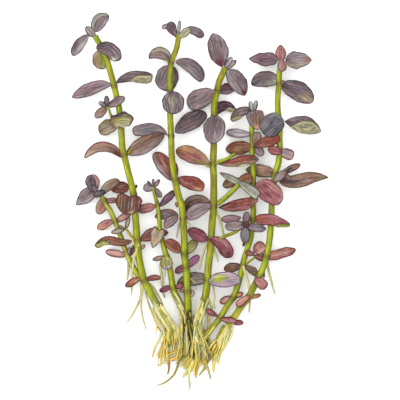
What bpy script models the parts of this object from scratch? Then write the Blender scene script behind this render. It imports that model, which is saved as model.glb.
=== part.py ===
"""Purple bacopa: a rooted bunch of seven leafy water-plant stems, lying flat on its side.

Lengths in the tables are millimetres. +Y runs from the roots to the shoot tips, +X across the bunch and
+Z up from the surface it lies on. Each stem, side shoot, root mass and large leaf is a solid of its own.
Leaves, buds and root threads that are too small for a solid of their own are grown into their stem.
"""

from dataclasses import dataclass

import bmesh
import bpy
from mathutils import Vector

MM = 0.001
PLAN_CENTRE = (0.405, -0.745)  # middle of the bunch in the tables' plan, which goes to the origin

LEAF_THICKNESS = 0.7
LEAF_SIDES = 6
LEAF_RINGS = 6
SMALL_LEAF_RINGS = 4
STEM_SIDES = 8
ROOT_SIDES = 5
THREAD_SIDES = 4
THREAD_RADIUS = 0.45
ROOT_RADIUS = 1.3
LEAST_HEIGHT = 0.05  # lowest point of a leaf that droops to the surface

SHOOT_GREEN = (0.50, 0.52, 0.06)
LEAF_PURPLE = (0.16, 0.10, 0.12)
LEAF_RED = (0.30, 0.09, 0.09)
LEAF_PINK = (0.42, 0.20, 0.24)
LEAF_OLIVE = (0.24, 0.22, 0.12)
ROOT_AMBER = (0.66, 0.50, 0.15)


@dataclass(frozen=True)
class Leaf:
    """One leaf blade: foot, tip, and how far it reaches to the left and right of the line between them."""

    name: str
    stem: str
    foot: tuple
    tip: tuple
    left: float
    right: float
    widest: float = 0.55
    full: float = 0.9
    bow: float = 0.0
    arch: float = 0.5
    colour: tuple = LEAF_PURPLE


@dataclass(frozen=True)
class Shoot:
    """A stem or a side shoot: its route and its radius at the growing end and at the roots."""

    name: str
    route: tuple
    top_radius: float
    foot_radius: float
    colour: tuple = SHOOT_GREEN


STEMS = (
    Shoot("stem_1", (
        (-52.5, 82, 7), (-50, 77.5, 7), (-47, 71, 7), (-43, 57, 7), (-40.5, 45.5, 7), (-39.2, 30, 7),
        (-36, 14, 7), (-33, 0, 7), (-31.5, -20, 7), (-29.2, -36, 7), (-23.2, -49.5, 6.4), (-16, -60, 5.2),
        (-11.5, -67, 4.4),
    ), 1.0, 1.5),
    Shoot("stem_2", (
        (-11, 81, 7), (-12.5, 73, 7), (-15, 62.5, 7), (-15, 42.5, 7), (-14.2, 22.5, 7), (-12.5, 10, 7),
        (-9.2, -3, 7), (-8, -17.5, 7), (-7, -34, 7), (-6.2, -49, 6.2), (-6, -62.5, 4.6),
    ), 1.25, 1.5),
    Shoot("stem_3", (
        (12.5, 66, 7), (9.5, 59, 7), (7.2, 48, 7), (6.8, 27.5, 7), (6.8, 10, 7), (6.5, -6, 7),
        (5.5, -20, 7), (4, -34.5, 7), (2.3, -50, 6.2), (-1.5, -61.5, 4.8),
    ), 1.4, 1.6),
    Shoot("stem_4", (
        (-23, 6.5, 6), (-22, 0, 6), (-20.3, -11.5, 6), (-17.8, -25, 6), (-15, -35, 6), (-12.4, -47.5, 5.4),
        (-9.6, -55.5, 4.8),
    ), 0.7, 1.4),
    Shoot("stem_5", (
        (27, 44, 6), (26, 35, 6), (26.2, 20, 6), (26.5, 8.5, 6), (26.6, -6, 6), (25, -20, 6),
        (21.2, -33, 6), (18.5, -44, 5.8), (12.4, -54.5, 5), (3.5, -67.5, 4.4),
    ), 1.15, 1.25),
    Shoot("stem_6", (
        (40.4, 69.5, 7), (39.5, 60, 7), (38.8, 51, 7), (40.3, 37, 7), (39.8, 22, 7), (36.8, 7, 7),
        (35.6, -8, 7), (33.2, -28.5, 7), (29.3, -38.5, 7), (24, -49, 6.2), (14, -63, 4.6),
    ), 1.1, 1.5),
    Shoot("stem_7", (
        (-50, 3, 5.5), (-47.5, -1.5, 5.5), (-44, -7.5, 5.5), (-41, -15, 5.5), (-38, -23.5, 5.5),
        (-35.2, -30.5, 5.5), (-32.6, -35.2, 5.5),
    ), 0.9, 1.1),
)

SIDE_SHOOTS = (
    Shoot("shoot_pale", ((9.0, -2.6, 7.2), (14, 2.2, 7.2), (19.2, 7.4, 7.6)), 1.1, 1.1),
    Shoot("shoot_rosette", ((7.9, -20.2, 7.2), (13, -18, 8.2), (17.5, -16.2, 9.3), (22.4, -12.6, 9.8)), 0.8, 0.8),
)

# Side growth and hanging root threads that belong to a stem: (stem, route, radius).
BRANCHLETS = (
    ("stem_1", ((-40.2, 36.5, 7), (-44.5, 42, 7.3), (-46.5, 46.5, 8.6)), 0.6),
    ("stem_1", ((-32, -19.2, 7.6), (-35, -17, 7.9), (-37.5, -14.5, 8.4)), 0.8),
    ("stem_5", ((21.5, -32, 6), (24.5, -31, 6.2), (27.5, -28.2, 6.6)), 0.6),
)
THREADS = (
    ("stem_7", ((-35.8, -28.6, 5.5), (-36.4, -34, 3.0), (-36.8, -40, 0.6))),
    ("stem_1", ((-29, -37.6, 6.8), (-30.1, -49.5, 2.6), (-36.6, -61.2, 0.5))),
    ("stem_1", ((-29, -38.6, 6.4), (-29.3, -55, 1.4), (-27.1, -65.2, 0.5))),
    ("stem_1", ((-27.8, -41, 6.6), (-24.5, -56, 2.0), (-17.5, -68.7, 0.5))),
    ("stem_2", ((-9.6, -7, 7), (-11, -15, 5.0), (-11.8, -19, 4.4))),
    ("stem_3", ((6.4, -5, 7), (10, -10, 5.0), (12, -18, 3.6))),
    ("stem_3", ((4.6, -23, 7), (1, -31, 4.0), (-0.2, -35, 3.0))),
    ("stem_3", ((3.2, -44, 6.6), (7, -52, 2.4), (4, -61, 0.6))),
    ("stem_6", ((33.6, -27, 7), (35.5, -40, 2.0), (37.5, -47.5, 0.5))),
)

BIG_LEAVES = (
    Leaf("leaf_a01", "stem_1", (-51.6, 84.6, 7.4), (-46.2, 93.5, 8.6), 5.1, 2.8, 0.50, 0.9),
    Leaf("leaf_a03", "stem_1", (-55.5, 82.3, 6.4), (-63.3, 72.0, 0.6), 2.2, 3.1, 0.55, 1.0),
    Leaf("leaf_a04", "stem_1", (-51.5, 75.0, 9.4), (-41.8, 70.5, 9.0), 3.9, 3.5, 0.55, 0.6, 2.6),
    Leaf("leaf_a06", "stem_1", (-44.2, 57.5, 6.6), (-63.7, 51.8, 0.5), 2.0, 4.6, 0.50, 1.0),
    Leaf("leaf_a07", "stem_1", (-41.8, 57.8, 6.6), (-24.0, 61.0, 0.6), 3.7, 1.5, 0.55, 0.9, 1.2),
    Leaf("leaf_a08", "stem_1", (-44.5, 37.5, 9.5), (-33.5, 39.5, 9.3), 3.3, 4.2, 0.50, 0.6, 2.2),
    Leaf("leaf_a09", "stem_1", (-41.6, 38.0, 5.6), (-50.5, 33.5, 0.8), 3.0, 4.4, 0.50, 0.7),
    Leaf("leaf_a11", "stem_1", (-40.4, 21.5, 6.6), (-57.2, 23.5, 0.6), 2.2, 4.0, 0.42, 0.8, -3.6),
    Leaf("leaf_a12", "stem_1", (-36.0, 23.0, 6.0), (-17.8, 34.5, 2.6), 3.3, 4.6, 0.52, 1.2),
    Leaf("leaf_a13", "stem_1", (-35.5, 5.5, 3.6), (-45.0, 6.5, 0.6), 3.2, 2.9, 0.50, 0.5, 0, 0, LEAF_RED),
    Leaf("leaf_a14", "stem_1", (-33.0, 2.3, 9.5), (-38.0, -7.2, 9.3), 5.2, 6.2, 0.35, 0.55, 0, 0.3),
    Leaf("leaf_a15", "stem_1", (-33.4, -21.8, 8.4), (-51.5, -23.5, 6.0), 1.6, 2.8, 0.60, 1.0, -1.6, 0.8, LEAF_RED),
    Leaf("leaf_a16", "stem_1", (-30.2, -20.5, 4.2), (-15.8, -16.5, 1.4), 4.6, 1.8, 0.50, 0.8, 0, 0, LEAF_RED),
    Leaf("leaf_c03", "stem_2", (-8.5, 83.2, 7.4), (0.8, 81.8, 3.4), 2.4, 1.8, 0.60, 0.8, 1.5),
    Leaf("leaf_c04", "stem_2", (-15.2, 69.6, 6.4), (-25.2, 70.5, 0.6), 1.9, 5.2, 0.40, 0.7, -1.6),
    Leaf("leaf_c05", "stem_2", (-12.0, 68.0, 6.6), (1.2, 60.5, 0.5), 4.4, 2.4, 0.55, 0.8, 1.5),
    Leaf("leaf_c06", "stem_2", (-14.0, 67.0, 3.6), (-18.0, 54.5, 0.5), 4.6, 5.6, 0.50, 0.6, 0, 0),
    Leaf("leaf_c07", "stem_2", (-14.5, 54.2, 9.4), (-12.5, 42.8, 9.2), 4.7, 5.5, 0.50, 0.6),
    Leaf("leaf_c08", "stem_2", (-12.5, 33.5, 6.6), (3.2, 43.0, 0.5), 5.4, 3.3, 0.50, 0.9),
    Leaf("leaf_c09", "stem_2", (-16.2, 32.0, 7.4), (-33.8, 33.8, 7.6), 2.4, 3.2, 0.55, 0.9, -2.4, 1.2),
    Leaf("leaf_c10", "stem_2", (-14.0, 9.5, 4.2), (-23.0, 23.5, 0.8), 2.9, 4.3, 0.60, 0.9, 0, 0),
    Leaf("leaf_c12", "stem_2", (-10.7, 10.0, 7.0), (1.8, 5.0, 6.4), 4.6, 2.1, 0.55, 0.9, 0, 0.5, LEAF_RED),
    Leaf("leaf_c13", "stem_2", (-10.8, -9.0, 7.0), (-21.5, -10.0, 3.2), 1.9, 1.9, 0.50, 0.7, -3.2, 0.0, LEAF_OLIVE),
    Leaf("leaf_c14", "stem_2", (-11.0, -8.5, 9.0), (-17.8, -14.2, 8.6), 1.9, 3.4, 0.50, 0.7),
    Leaf("leaf_c15", "stem_2", (-9.5, -26.5, 6.6), (-17.5, -20.5, 8.2), 2.5, 3.4, 0.50, 0.7, 0, 0.5, LEAF_RED),
    Leaf("leaf_d01", "stem_3", (11.4, 67.4, 7.2), (6.5, 83.2, 2.6), 4.5, 5.5, 0.50, 0.8, 0, 1.0),
    Leaf("leaf_d04", "stem_3", (13.5, 64.8, 7.6), (22.5, 52.2, 1.6), 5.3, 3.5, 0.45, 0.8, 0, 1.0, LEAF_PINK),
    Leaf("leaf_d06", "stem_3", (6.1, 53.4, 6.4), (-6.2, 47.5, 0.8), 4.6, 5.8, 0.50, 0.75, 0, 0.5, LEAF_PINK),
    Leaf("leaf_d07", "stem_3", (5.0, 44.0, 3.8), (19.0, 47.0, 0.5), 3.2, 2.4, 0.55, 0.8, 0, 0),
    Leaf("leaf_d08", "stem_3", (8.0, 42.0, 9.6), (6.0, 27.8, 9.4), 5.3, 5.3, 0.50, 0.7),
    Leaf("leaf_d09", "stem_3", (4.9, 16.2, 6.6), (-12.2, 25.0, 3.4), 3.9, 4.4, 0.55, 0.95, 0, 0.5, LEAF_RED),
    Leaf("leaf_d10", "stem_3", (8.8, 18.0, 7.4), (29.5, 20.8, 8.2), 2.2, 3.4, 0.60, 1.3, 0, 0.8, LEAF_RED),
    Leaf("leaf_d12", "stem_3", (5.0, -1.5, 6.2), (-8.0, -6.5, 2.0), 2.6, 2.8, 0.60, 0.6, -4.0, 0, LEAF_OLIVE),
    Leaf("leaf_d13", "stem_3", (4.5, -4.0, 8.4), (-6.3, -9.5, 7.4), 1.7, 4.3, 0.60, 0.8, 0, 0.5, LEAF_PINK),
    Leaf("leaf_d14", "stem_3", (9.0, -3.9, 5.0), (29.2, 0.5, 8.8), 2.0, 4.3, 0.55, 1.1, 0, 0, LEAF_RED),
    Leaf("leaf_d15", "stem_3", (4.0, -20.5, 7.4), (-6.2, -15.0, 5.6), 3.0, 3.4, 0.50, 0.8, 0, 0.5, LEAF_RED),
    Leaf("leaf_d16", "stem_3", (7.4, -22.0, 6.2), (15.5, -28.5, 4.2), 5.2, 2.4, 0.55, 0.7, 0.6, 0.3, LEAF_RED),
    Leaf("leaf_d18", "stem_3", (5.4, -41.0, 7.0), (20.5, -40.0, 8.2), 4.8, 3.2, 0.60, 0.9, 0, 0.5, LEAF_PINK),
    Leaf("leaf_f04", "stem_5", (26.4, 44.0, 8.6), (28.5, 35.0, 8.4), 5.0, 3.1, 0.30, 0.7),
    Leaf("leaf_h04", "stem_5", (24.6, 27.0, 5.8), (13.0, 25.0, 0.8), 3.2, 3.2, 0.50, 0.9, 0, 0.5, LEAF_RED),
    Leaf("leaf_e03", "stem_6", (38.8, 70.0, 6.8), (24.5, 70.2, 0.6), 3.5, 3.6, 0.45, 0.9, 0, 0.8, LEAF_PINK),
    Leaf("leaf_e04", "stem_6", (42.6, 69.5, 6.8), (56.0, 70.0, 0.6), 4.5, 4.2, 0.40, 0.9, 0, 0.8, LEAF_OLIVE),
    Leaf("leaf_e05", "stem_6", (38.2, 57.6, 6.6), (26.0, 59.5, 0.6), 2.0, 6.0, 0.38, 0.8),
    Leaf("leaf_e06", "stem_6", (40.6, 56.6, 6.6), (56.0, 49.0, 0.5), 5.8, 3.2, 0.55, 0.8, 0.6),
    Leaf("leaf_e07", "stem_6", (40.4, 41.6, 10.8), (31.5, 33.0, 10.4), 5.4, 5.6, 0.50, 0.55),
    Leaf("leaf_e08", "stem_6", (41.6, 38.5, 6.6), (60.0, 34.0, 0.5), 5.4, 2.7, 0.62, 1.0),
    Leaf("leaf_e10", "stem_6", (39.4, 10.0, 6.8), (64.8, 11.0, 0.5), 3.6, 3.9, 0.50, 1.0, 0, 1.0, LEAF_RED),
    Leaf("leaf_e11", "stem_5", (27.9, 8.0, 7.6), (40.5, -1.5, 9.4), 6.2, 4.2, 0.50, 0.7, 0, 1.2, LEAF_PINK),
    Leaf("leaf_e12", "stem_5", (27.7, -10.6, 6.8), (45.2, -12.5, 8.4), 4.6, 1.5, 0.45, 0.8, 0, 2.0, LEAF_RED),
)

SMALL_LEAVES = (
    Leaf("bud_a02", "stem_1", (-51.6, 80.8, 7.0), (-57.0, 86.3, 8.4), 1.7, 2.0, 0.55, 0.7),
    Leaf("leaf_a05", "stem_1", (-48.6, 74.0, 6.2), (-48.0, 65.3, 3.0), 1.9, 4.8, 0.55, 0.8),
    Leaf("leaf_b01", "stem_1", (-46.5, 46.0, 8.4), (-46.8, 52.0, 10.0), 1.4, 1.4),
    Leaf("leaf_b02", "stem_1", (-46.2, 46.0, 8.4), (-50.8, 49.0, 9.6), 1.3, 1.3),
    Leaf("leaf_b03", "stem_1", (-46.8, 46.2, 8.6), (-37.5, 51.2, 9.6), 2.2, 2.2),
    Leaf("leaf_b04", "stem_1", (-46.2, 46.6, 8.5), (-52.5, 41.0, 8.0), 2.3, 2.3),
    Leaf("leaf_m01", "stem_1", (-37.2, -15.0, 8.2), (-35.5, -8.6, 7.6), 1.2, 1.2),
    Leaf("leaf_m03", "stem_1", (-37.0, -14.6, 8.3), (-44.5, -16.5, 8.0), 1.4, 1.4),
    Leaf("leaf_a17", "stem_1", (-29.4, -38.6, 6.8), (-37.5, -43.5, 2.4), 1.7, 1.7),
    Leaf("leaf_a18", "stem_1", (-29.4, -38.4, 6.8), (-19.5, -38.2, 2.6), 1.5, 1.5),
    Leaf("leaf_l01", "stem_7", (-50.6, 2.6, 5.6), (-56.0, 12.2, 6.6), 3.4, 3.4, 0.60, 0.8),
    Leaf("leaf_l02", "stem_7", (-50.2, 3.4, 5.4), (-62.2, -2.8, 0.5), 2.8, 2.8, 0.62, 1.1),
    Leaf("leaf_l05", "stem_7", (-49.6, 2.0, 5.6), (-40.8, 9.5, 5.2), 2.4, 1.6, 0.55, 0.8, 0.8),
    Leaf("leaf_l06", "stem_7", (-47.2, -0.6, 5.4), (-51.0, -7.2, 2.4), 2.2, 2.2),
    Leaf("leaf_l07", "stem_7", (-47.8, -0.6, 5.6), (-41.0, -0.2, 5.2), 1.3, 1.3),
    Leaf("leaf_l08", "stem_7", (-42.2, -10.6, 5.4), (-51.0, -15.5, 0.6), 2.2, 2.2),
    Leaf("leaf_l09", "stem_7", (-43.0, -11.4, 5.4), (-36.5, -7.0, 4.2), 1.7, 1.7),
    Leaf("leaf_l10", "stem_7", (-36.0, -28.0, 5.4), (-47.5, -26.0, 0.6), 2.0, 2.0),
    Leaf("leaf_c01", "stem_2", (-11.2, 80.2, 7.0), (-17.2, 87.0, 3.0), 1.0, 3.6, 0.60, 0.8),
    Leaf("bud_c02", "stem_2", (-10.8, 79.6, 7.2), (-10.3, 89.2, 8.6), 1.3, 1.3, 0.60, 0.8),
    Leaf("leaf_c17", "stem_2", (-7.4, -27.6, 7.0), (-1.8, -20.5, 3.4), 2.5, 2.5),
    Leaf("leaf_c18", "stem_2", (-6.6, -33.0, 7.0), (-12.0, -37.0, 3.2), 1.7, 1.7),
    Leaf("leaf_c19", "stem_2", (-7.2, -34.2, 7.0), (-0.5, -27.8, 3.4), 2.0, 2.0),
    Leaf("leaf_c21", "stem_2", (-6.8, -46.2, 6.4), (-2.8, -47.0, 6.8), 1.6, 1.6),
    Leaf("leaf_d02", "stem_3", (12.0, 65.0, 7.2), (16.0, 71.2, 8.4), 1.0, 1.0),
    Leaf("leaf_d03", "stem_3", (11.8, 64.6, 6.8), (18.0, 69.8, 7.4), 1.1, 1.1),
    Leaf("leaf_d05", "stem_3", (8.0, 54.0, 6.0), (17.5, 53.5, 2.2), 2.4, 1.2),
    Leaf("leaf_d17", "stem_3", (3.9, -39.0, 6.0), (-10.0, -41.0, 2.8), 3.0, 3.8, 0.45, 0.8),
    Leaf("leaf_n01", "stem_4", (-22.6, 5.6, 6.2), (-28.5, 6.2, 5.6), 1.8, 2.0, 0.60, 0.8),
    Leaf("leaf_n04", "stem_4", (-23.2, 5.8, 6.4), (-20.3, 10.2, 7.4), 1.1, 1.1),
    Leaf("leaf_n03", "stem_4", (-21.6, -2.6, 6.0), (-30.2, -5.0, 3.4), 2.2, 2.2),
    Leaf("leaf_n05", "stem_4", (-22.2, -3.2, 6.0), (-14.8, 2.8, 4.6), 1.8, 1.8),
    Leaf("leaf_n06", "stem_4", (-20.0, -14.2, 6.6), (-24.0, -23.5, 7.0), 3.0, 2.2, 0.40, 0.7, 0, 2.2),
    Leaf("leaf_n08", "stem_4", (-15.8, -33.4, 6.4), (-16.8, -28.0, 8.0), 2.4, 2.4, 0.60, 0.8),
    Leaf("leaf_n09", "stem_4", (-13.2, -43.6, 5.6), (-20.0, -46.0, 2.4), 1.0, 1.0),
    Leaf("leaf_g01", "shoot_pale", (18.4, 6.6, 7.6), (9.2, 12.8, 5.6), 1.5, 1.5),
    Leaf("leaf_g02", "shoot_pale", (18.4, 6.8, 7.6), (28.6, 2.6, 9.8), 2.2, 2.2, 0.60, 1.0, 0, 1.4),
    Leaf("leaf_g03", "shoot_pale", (18.8, 6.6, 7.6), (24.6, 11.6, 8.6), 3.0, 1.4, 0.60, 0.9),
    Leaf("leaf_g04", "shoot_pale", (19.0, 7.6, 7.4), (11.8, 7.2, 5.0), 1.7, 1.7),
    Leaf("leaf_o01", "shoot_rosette", (22.6, -13.4, 9.8), (23.5, -6.0, 10.6), 2.0, 2.0),
    Leaf("leaf_o02", "shoot_rosette", (23.2, -12.4, 9.8), (12.5, -13.5, 10.4), 2.7, 2.7, 0.55, 0.8, 0, 1.0),
    Leaf("leaf_o03", "shoot_rosette", (21.8, -12.6, 9.9), (33.0, -14.4, 11.4), 1.6, 2.6),
    Leaf("leaf_o04", "shoot_rosette", (22.6, -12.0, 9.8), (22.5, -21.8, 9.4), 2.5, 2.5),
    Leaf("leaf_f01", "stem_5", (26.4, 43.0, 6.2), (25.6, 49.0, 6.6), 1.0, 1.0),
    Leaf("leaf_f02", "stem_5", (26.8, 43.0, 6.2), (28.5, 49.5, 6.0), 0.9, 0.9),
    Leaf("leaf_f03", "stem_5", (27.0, 43.6, 6.2), (16.0, 39.5, 4.2), 1.6, 1.6),
    Leaf("leaf_f05", "stem_5", (26.6, 32.4, 6.0), (13.0, 33.8, 1.2), 2.2, 2.2),
    Leaf("leaf_h01", "stem_5", (26.0, 25.6, 6.2), (29.2, 34.0, 6.0), 1.7, 1.9),
    Leaf("leaf_h02", "stem_5", (26.0, 26.6, 6.0), (31.6, 22.4, 5.0), 1.6, 1.6),
    Leaf("leaf_h03", "stem_5", (25.6, 26.2, 6.6), (40.0, 31.0, 9.2), 3.0, 2.8, 0.62, 1.0, 0, 1.4),
    Leaf("leaf_f06", "stem_5", (21.4, -33.4, 6.4), (11.8, -34.8, 5.4), 1.5, 2.4),
    Leaf("leaf_f07", "stem_5", (20.8, -33.2, 6.4), (27.6, -37.6, 4.2), 3.0, 1.0, 0.60, 0.9),
    Leaf("leaf_f08", "stem_5", (26.8, -29.2, 6.4), (29.5, -21.2, 6.6), 2.4, 2.6),
    Leaf("leaf_f09", "stem_5", (27.8, -28.4, 6.4), (22.8, -27.2, 7.4), 1.3, 1.3),
    Leaf("leaf_f11", "stem_5", (16.8, -48.4, 5.6), (9.8, -51.5, 4.0), 2.0, 2.0),
    Leaf("leaf_f12", "stem_5", (16.4, -49.0, 5.6), (21.5, -46.5, 6.6), 1.4, 1.4),
    Leaf("leaf_f13", "stem_5", (8.6, -60.4, 4.8), (2.8, -55.5, 6.0), 1.2, 1.2),
    Leaf("leaf_e01", "stem_6", (40.4, 68.4, 7.0), (40.0, 77.2, 3.4), 2.4, 2.4, 0.60, 0.8),
    Leaf("leaf_e02", "stem_6", (40.2, 70.4, 7.4), (41.5, 64.0, 9.4), 2.3, 2.3, 0.55, 0.8),
    Leaf("leaf_j01", "stem_6", (41.0, 23.6, 8.0), (34.0, 24.5, 9.4), 1.9, 1.9),
    Leaf("leaf_j02", "stem_6", (39.2, 23.8, 8.0), (46.5, 23.0, 6.8), 2.6, 2.8, 0.60, 0.8),
    Leaf("leaf_e09", "stem_6", (37.8, 12.6, 6.2), (22.8, 15.0, 2.2), 2.5, 4.0, 0.45, 0.9),
    Leaf("leaf_k01", "stem_6", (37.4, 11.6, 7.4), (50.2, 17.8, 6.2), 1.8, 1.8, 0.65, 1.4),
    Leaf("leaf_e13", "stem_6", (32.6, -30.0, 7.0), (48.0, -25.2, 0.6), 3.0, 2.5, 0.50, 0.8),
    Leaf("leaf_e14", "stem_6", (28.0, -40.4, 7.4), (33.0, -43.5, 9.0), 2.2, 2.0, 0.55, 0.8),
    Leaf("leaf_e15", "stem_6", (25.0, -47.8, 6.6), (18.2, -53.2, 6.9), 1.8, 2.0, 0.60, 0.9, 0, 1.0),
    Leaf("leaf_e16", "stem_6", (24.2, -48.8, 6.4), (30.5, -48.2, 4.6), 1.0, 1.0),
    Leaf("leaf_e17", "stem_6", (15.2, -61.2, 5.0), (21.8, -61.6, 3.2), 1.4, 1.3),
)

# Main roots from the crown to their tips, in plan. They lie on the surface, under the feet of the stems.
CROWN = (-5.0, -66.0)
CROWN_REACH = (9.0, 5.5)
ROOT_TIPS = (
    ((-14, -70), (-24.0, -79.0)),
    ((-13, -73), (-21.5, -83.0)),
    ((-11, -77), (-16.0, -87.5)),
    ((-9, -82), (-21.5, -93.0)),
    ((-7, -80), (-8.8, -89.0)),
    ((-4, -80), (-5.2, -95.6)),
    ((-2, -78), (-0.5, -88.0)),
    ((1, -78), (5.0, -90.0)),
)
RIGHT_CROWN = (9.0, -69.0)
RIGHT_CROWN_REACH = (3.2, 4.0)
RIGHT_ROOT_TIPS = (
    ((9, -76), (7.4, -86.5)),
    ((10.5, -75), (10.4, -82.0)),
)
ROOT_HEIGHT = 1.1  # of a root's centre
ROOT_HEIGHT_STEP = 0.05  # by which one root lies higher than the one before it
ROOT_HALF_HEIGHT = 0.9
CROWN_HALF_HEIGHT = 1.05


def clear_scene():
    """Remove what the file starts with."""
    for obj in list(bpy.data.objects):
        bpy.data.objects.remove(obj)


def to_metres(point):
    """A point of the tables as a point of the part."""
    x, y, z = point
    return Vector((x - PLAN_CENTRE[0], y - PLAN_CENTRE[1], z)) * MM


def blade_width(leaf, t):
    """Share of the full half-width at t along a blade, 1 at its widest."""
    rise = leaf.full * leaf.widest
    fall = leaf.full * (1 - leaf.widest)
    peak = leaf.widest**rise * (1 - leaf.widest) ** fall
    return t**rise * (1 - t) ** fall / peak


def blade_point(leaf, ball):
    """Where a point of the unit ball lands on the blade: its Z runs along, X across and Y through."""
    t = min(max((1 - ball.z) / 2, 0.0), 1.0)
    reach = max((1 - ball.z**2) ** 0.5, 1e-6)
    across, through = ball.x / reach, ball.y / reach
    foot, tip = Vector(leaf.foot), Vector(leaf.tip)
    along = (tip - foot).to_2d()
    side = Vector((-along.y, along.x)).normalized()
    swing = 4 * t * (1 - t)
    middle = foot.lerp(tip, t) + Vector((side.x * leaf.bow, side.y * leaf.bow, leaf.arch)) * swing
    half = leaf.left if across > 0 else leaf.right
    width = blade_width(leaf, t) if 0 < t < 1 else 0.0
    turn = (leaf.bow * 4 * (1 - 2 * t)) / max(along.length, 1e-6)
    bent = (side - along.normalized() * turn).normalized()
    flat = middle.to_2d() + bent * across * half * width
    thick = LEAF_THICKNESS / 2 * through * min(1.0, 4 * width)
    return Vector((flat.x, flat.y, max(middle.z + thick, LEAST_HEIGHT + thick * 0.5 + LEAF_THICKNESS / 4)))


def turn_outward(bm):
    """Make all faces of a closed mesh point out of it."""
    bmesh.ops.recalc_face_normals(bm, faces=bm.faces)
    if bm.calc_volume(signed=True) < 0:
        bmesh.ops.reverse_faces(bm, faces=bm.faces)


def blade_mesh(leaf, rings):
    """A closed, thin blade as a bmesh in metres."""
    bm = bmesh.new()
    bmesh.ops.create_uvsphere(bm, u_segments=LEAF_SIDES, v_segments=rings, radius=1.0)
    for vert in bm.verts:
        vert.co = to_metres(blade_point(leaf, vert.co))
    turn_outward(bm)
    return bm


def tube_mesh(route, radii, sides, squash=1.0):
    """A closed tube in metres along a route of points, with a radius at each of them."""
    bm = bmesh.new()
    points = [Vector(point) for point in route]
    rings = []
    for index, point in enumerate(points):
        ahead = points[min(index + 1, len(points) - 1)]
        behind = points[max(index - 1, 0)]
        frame = (ahead - behind).to_track_quat("Z", "X")
        shape = bmesh.ops.create_circle(bm, cap_ends=False, segments=sides, radius=radii[index])
        for vert in shape["verts"]:
            spot = frame @ vert.co
            spot.z *= squash
            vert.co = to_metres(point + spot)
        rings.append(shape["verts"])
    for first, second in zip(rings, rings[1:]):
        for side in range(sides):
            after = (side + 1) % sides
            bm.faces.new((first[side], first[after], second[after], second[side]))
    bm.faces.new(rings[0])
    bm.faces.new(rings[-1])
    turn_outward(bm)
    return bm


def material(name, colour, roughness=0.5):
    """A plain Principled material."""
    made = bpy.data.materials.new(name)
    made.use_nodes = True
    surface = made.node_tree.nodes["Principled BSDF"]
    surface.inputs["Base Color"].default_value = (*colour, 1.0)
    surface.inputs["Roughness"].default_value = roughness
    return made


def add_object(name, bm, colour=None):
    """Put a bmesh into the scene as a named object."""
    mesh = bpy.data.meshes.new(name)
    bm.to_mesh(mesh)
    bm.free()
    obj = bpy.data.objects.new(name, mesh)
    bpy.context.collection.objects.link(obj)
    if colour:
        mesh.materials.append(material(name, colour))
    return obj


def grow_together(obj, others):
    """Unite a solid with others that run into it, and remove them."""
    for other in others:
        union = obj.modifiers.new(other.name, "BOOLEAN")
        union.operation = "UNION"
        union.solver = "EXACT"
        union.object = other
    graph = bpy.context.evaluated_depsgraph_get()
    mesh = bpy.data.meshes.new_from_object(obj.evaluated_get(graph))
    obj.modifiers.clear()
    obj.data = mesh
    for other in others:
        bpy.data.objects.remove(other)


def even_radii(count, first, last):
    """Radii from the first to the last in even steps."""
    return [first + (last - first) * index / (count - 1) for index in range(count)]


def shoot_solid(shoot):
    """A stem or side shoot with the small growth that belongs to it."""
    radii = even_radii(len(shoot.route), shoot.top_radius, shoot.foot_radius)
    obj = add_object(shoot.name, tube_mesh(shoot.route, radii, STEM_SIDES), shoot.colour)
    growth = []
    for stem, route, radius in BRANCHLETS:
        if stem == shoot.name:
            radii = even_radii(len(route), radius, radius * 0.8)
            growth.append(add_object("branchlet", tube_mesh(route, radii, 6)))
    for stem, route in THREADS:
        if stem == shoot.name:
            radii = even_radii(len(route), THREAD_RADIUS, THREAD_RADIUS * 0.6)
            growth.append(add_object("thread", tube_mesh(route, radii, THREAD_SIDES)))
    for leaf in SMALL_LEAVES:
        if leaf.stem == shoot.name:
            growth.append(add_object(leaf.name, blade_mesh(leaf, SMALL_LEAF_RINGS)))
    if growth:
        grow_together(obj, growth)


def crown_mesh(centre, reach):
    """The low rounded lump in which the main roots are one."""
    bm = bmesh.new()
    bmesh.ops.create_uvsphere(bm, u_segments=12, v_segments=6, radius=1.0)
    for vert in bm.verts:
        place = (
            centre[0] + reach[0] * vert.co.x,
            centre[1] + reach[1] * vert.co.y,
            CROWN_HALF_HEIGHT * (1 + vert.co.z),
        )
        vert.co = to_metres(place)
    turn_outward(bm)
    return bm


def root_solid(name, crown, reach, tips):
    """A fan of flattened main roots that grow out of one crown."""
    lump = add_object(name, crown_mesh(crown, reach), ROOT_AMBER)
    fan = []
    for index, (knee, tip) in enumerate(tips):
        height = ROOT_HEIGHT + ROOT_HEIGHT_STEP * index
        start = Vector(crown).lerp(Vector(knee), 0.3)
        route = [(*point, height) for point in (start, knee, tip)]
        radii = (ROOT_RADIUS, ROOT_RADIUS, ROOT_RADIUS * 0.3)
        fan.append(add_object("root", tube_mesh(route, radii, ROOT_SIDES, ROOT_HALF_HEIGHT / ROOT_RADIUS)))
    grow_together(lump, fan)


def build():
    """Make every solid of the part."""
    clear_scene()
    for shoot in STEMS + SIDE_SHOOTS:
        shoot_solid(shoot)
    root_solid("root_mass", CROWN, CROWN_REACH, ROOT_TIPS)
    root_solid("root_bundle_right", RIGHT_CROWN, RIGHT_CROWN_REACH, RIGHT_ROOT_TIPS)
    for leaf in BIG_LEAVES:
        add_object(leaf.name, blade_mesh(leaf, LEAF_RINGS), leaf.colour)


build()
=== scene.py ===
"""Purple bacopa bunch: finished leaves, stems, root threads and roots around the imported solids.

Lengths in the tables are millimetres in the plan of the bunch: +Y from the roots to the shoot tips, +X to
the right and the third number, where there is one, above the surface. PLAN_CENTRE moves them to the origin.
"""

import logging
import math
import random
from dataclasses import dataclass
from enum import Enum
from typing import Callable, Sequence

import bmesh
import bpy
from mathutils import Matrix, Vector, noise


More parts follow.
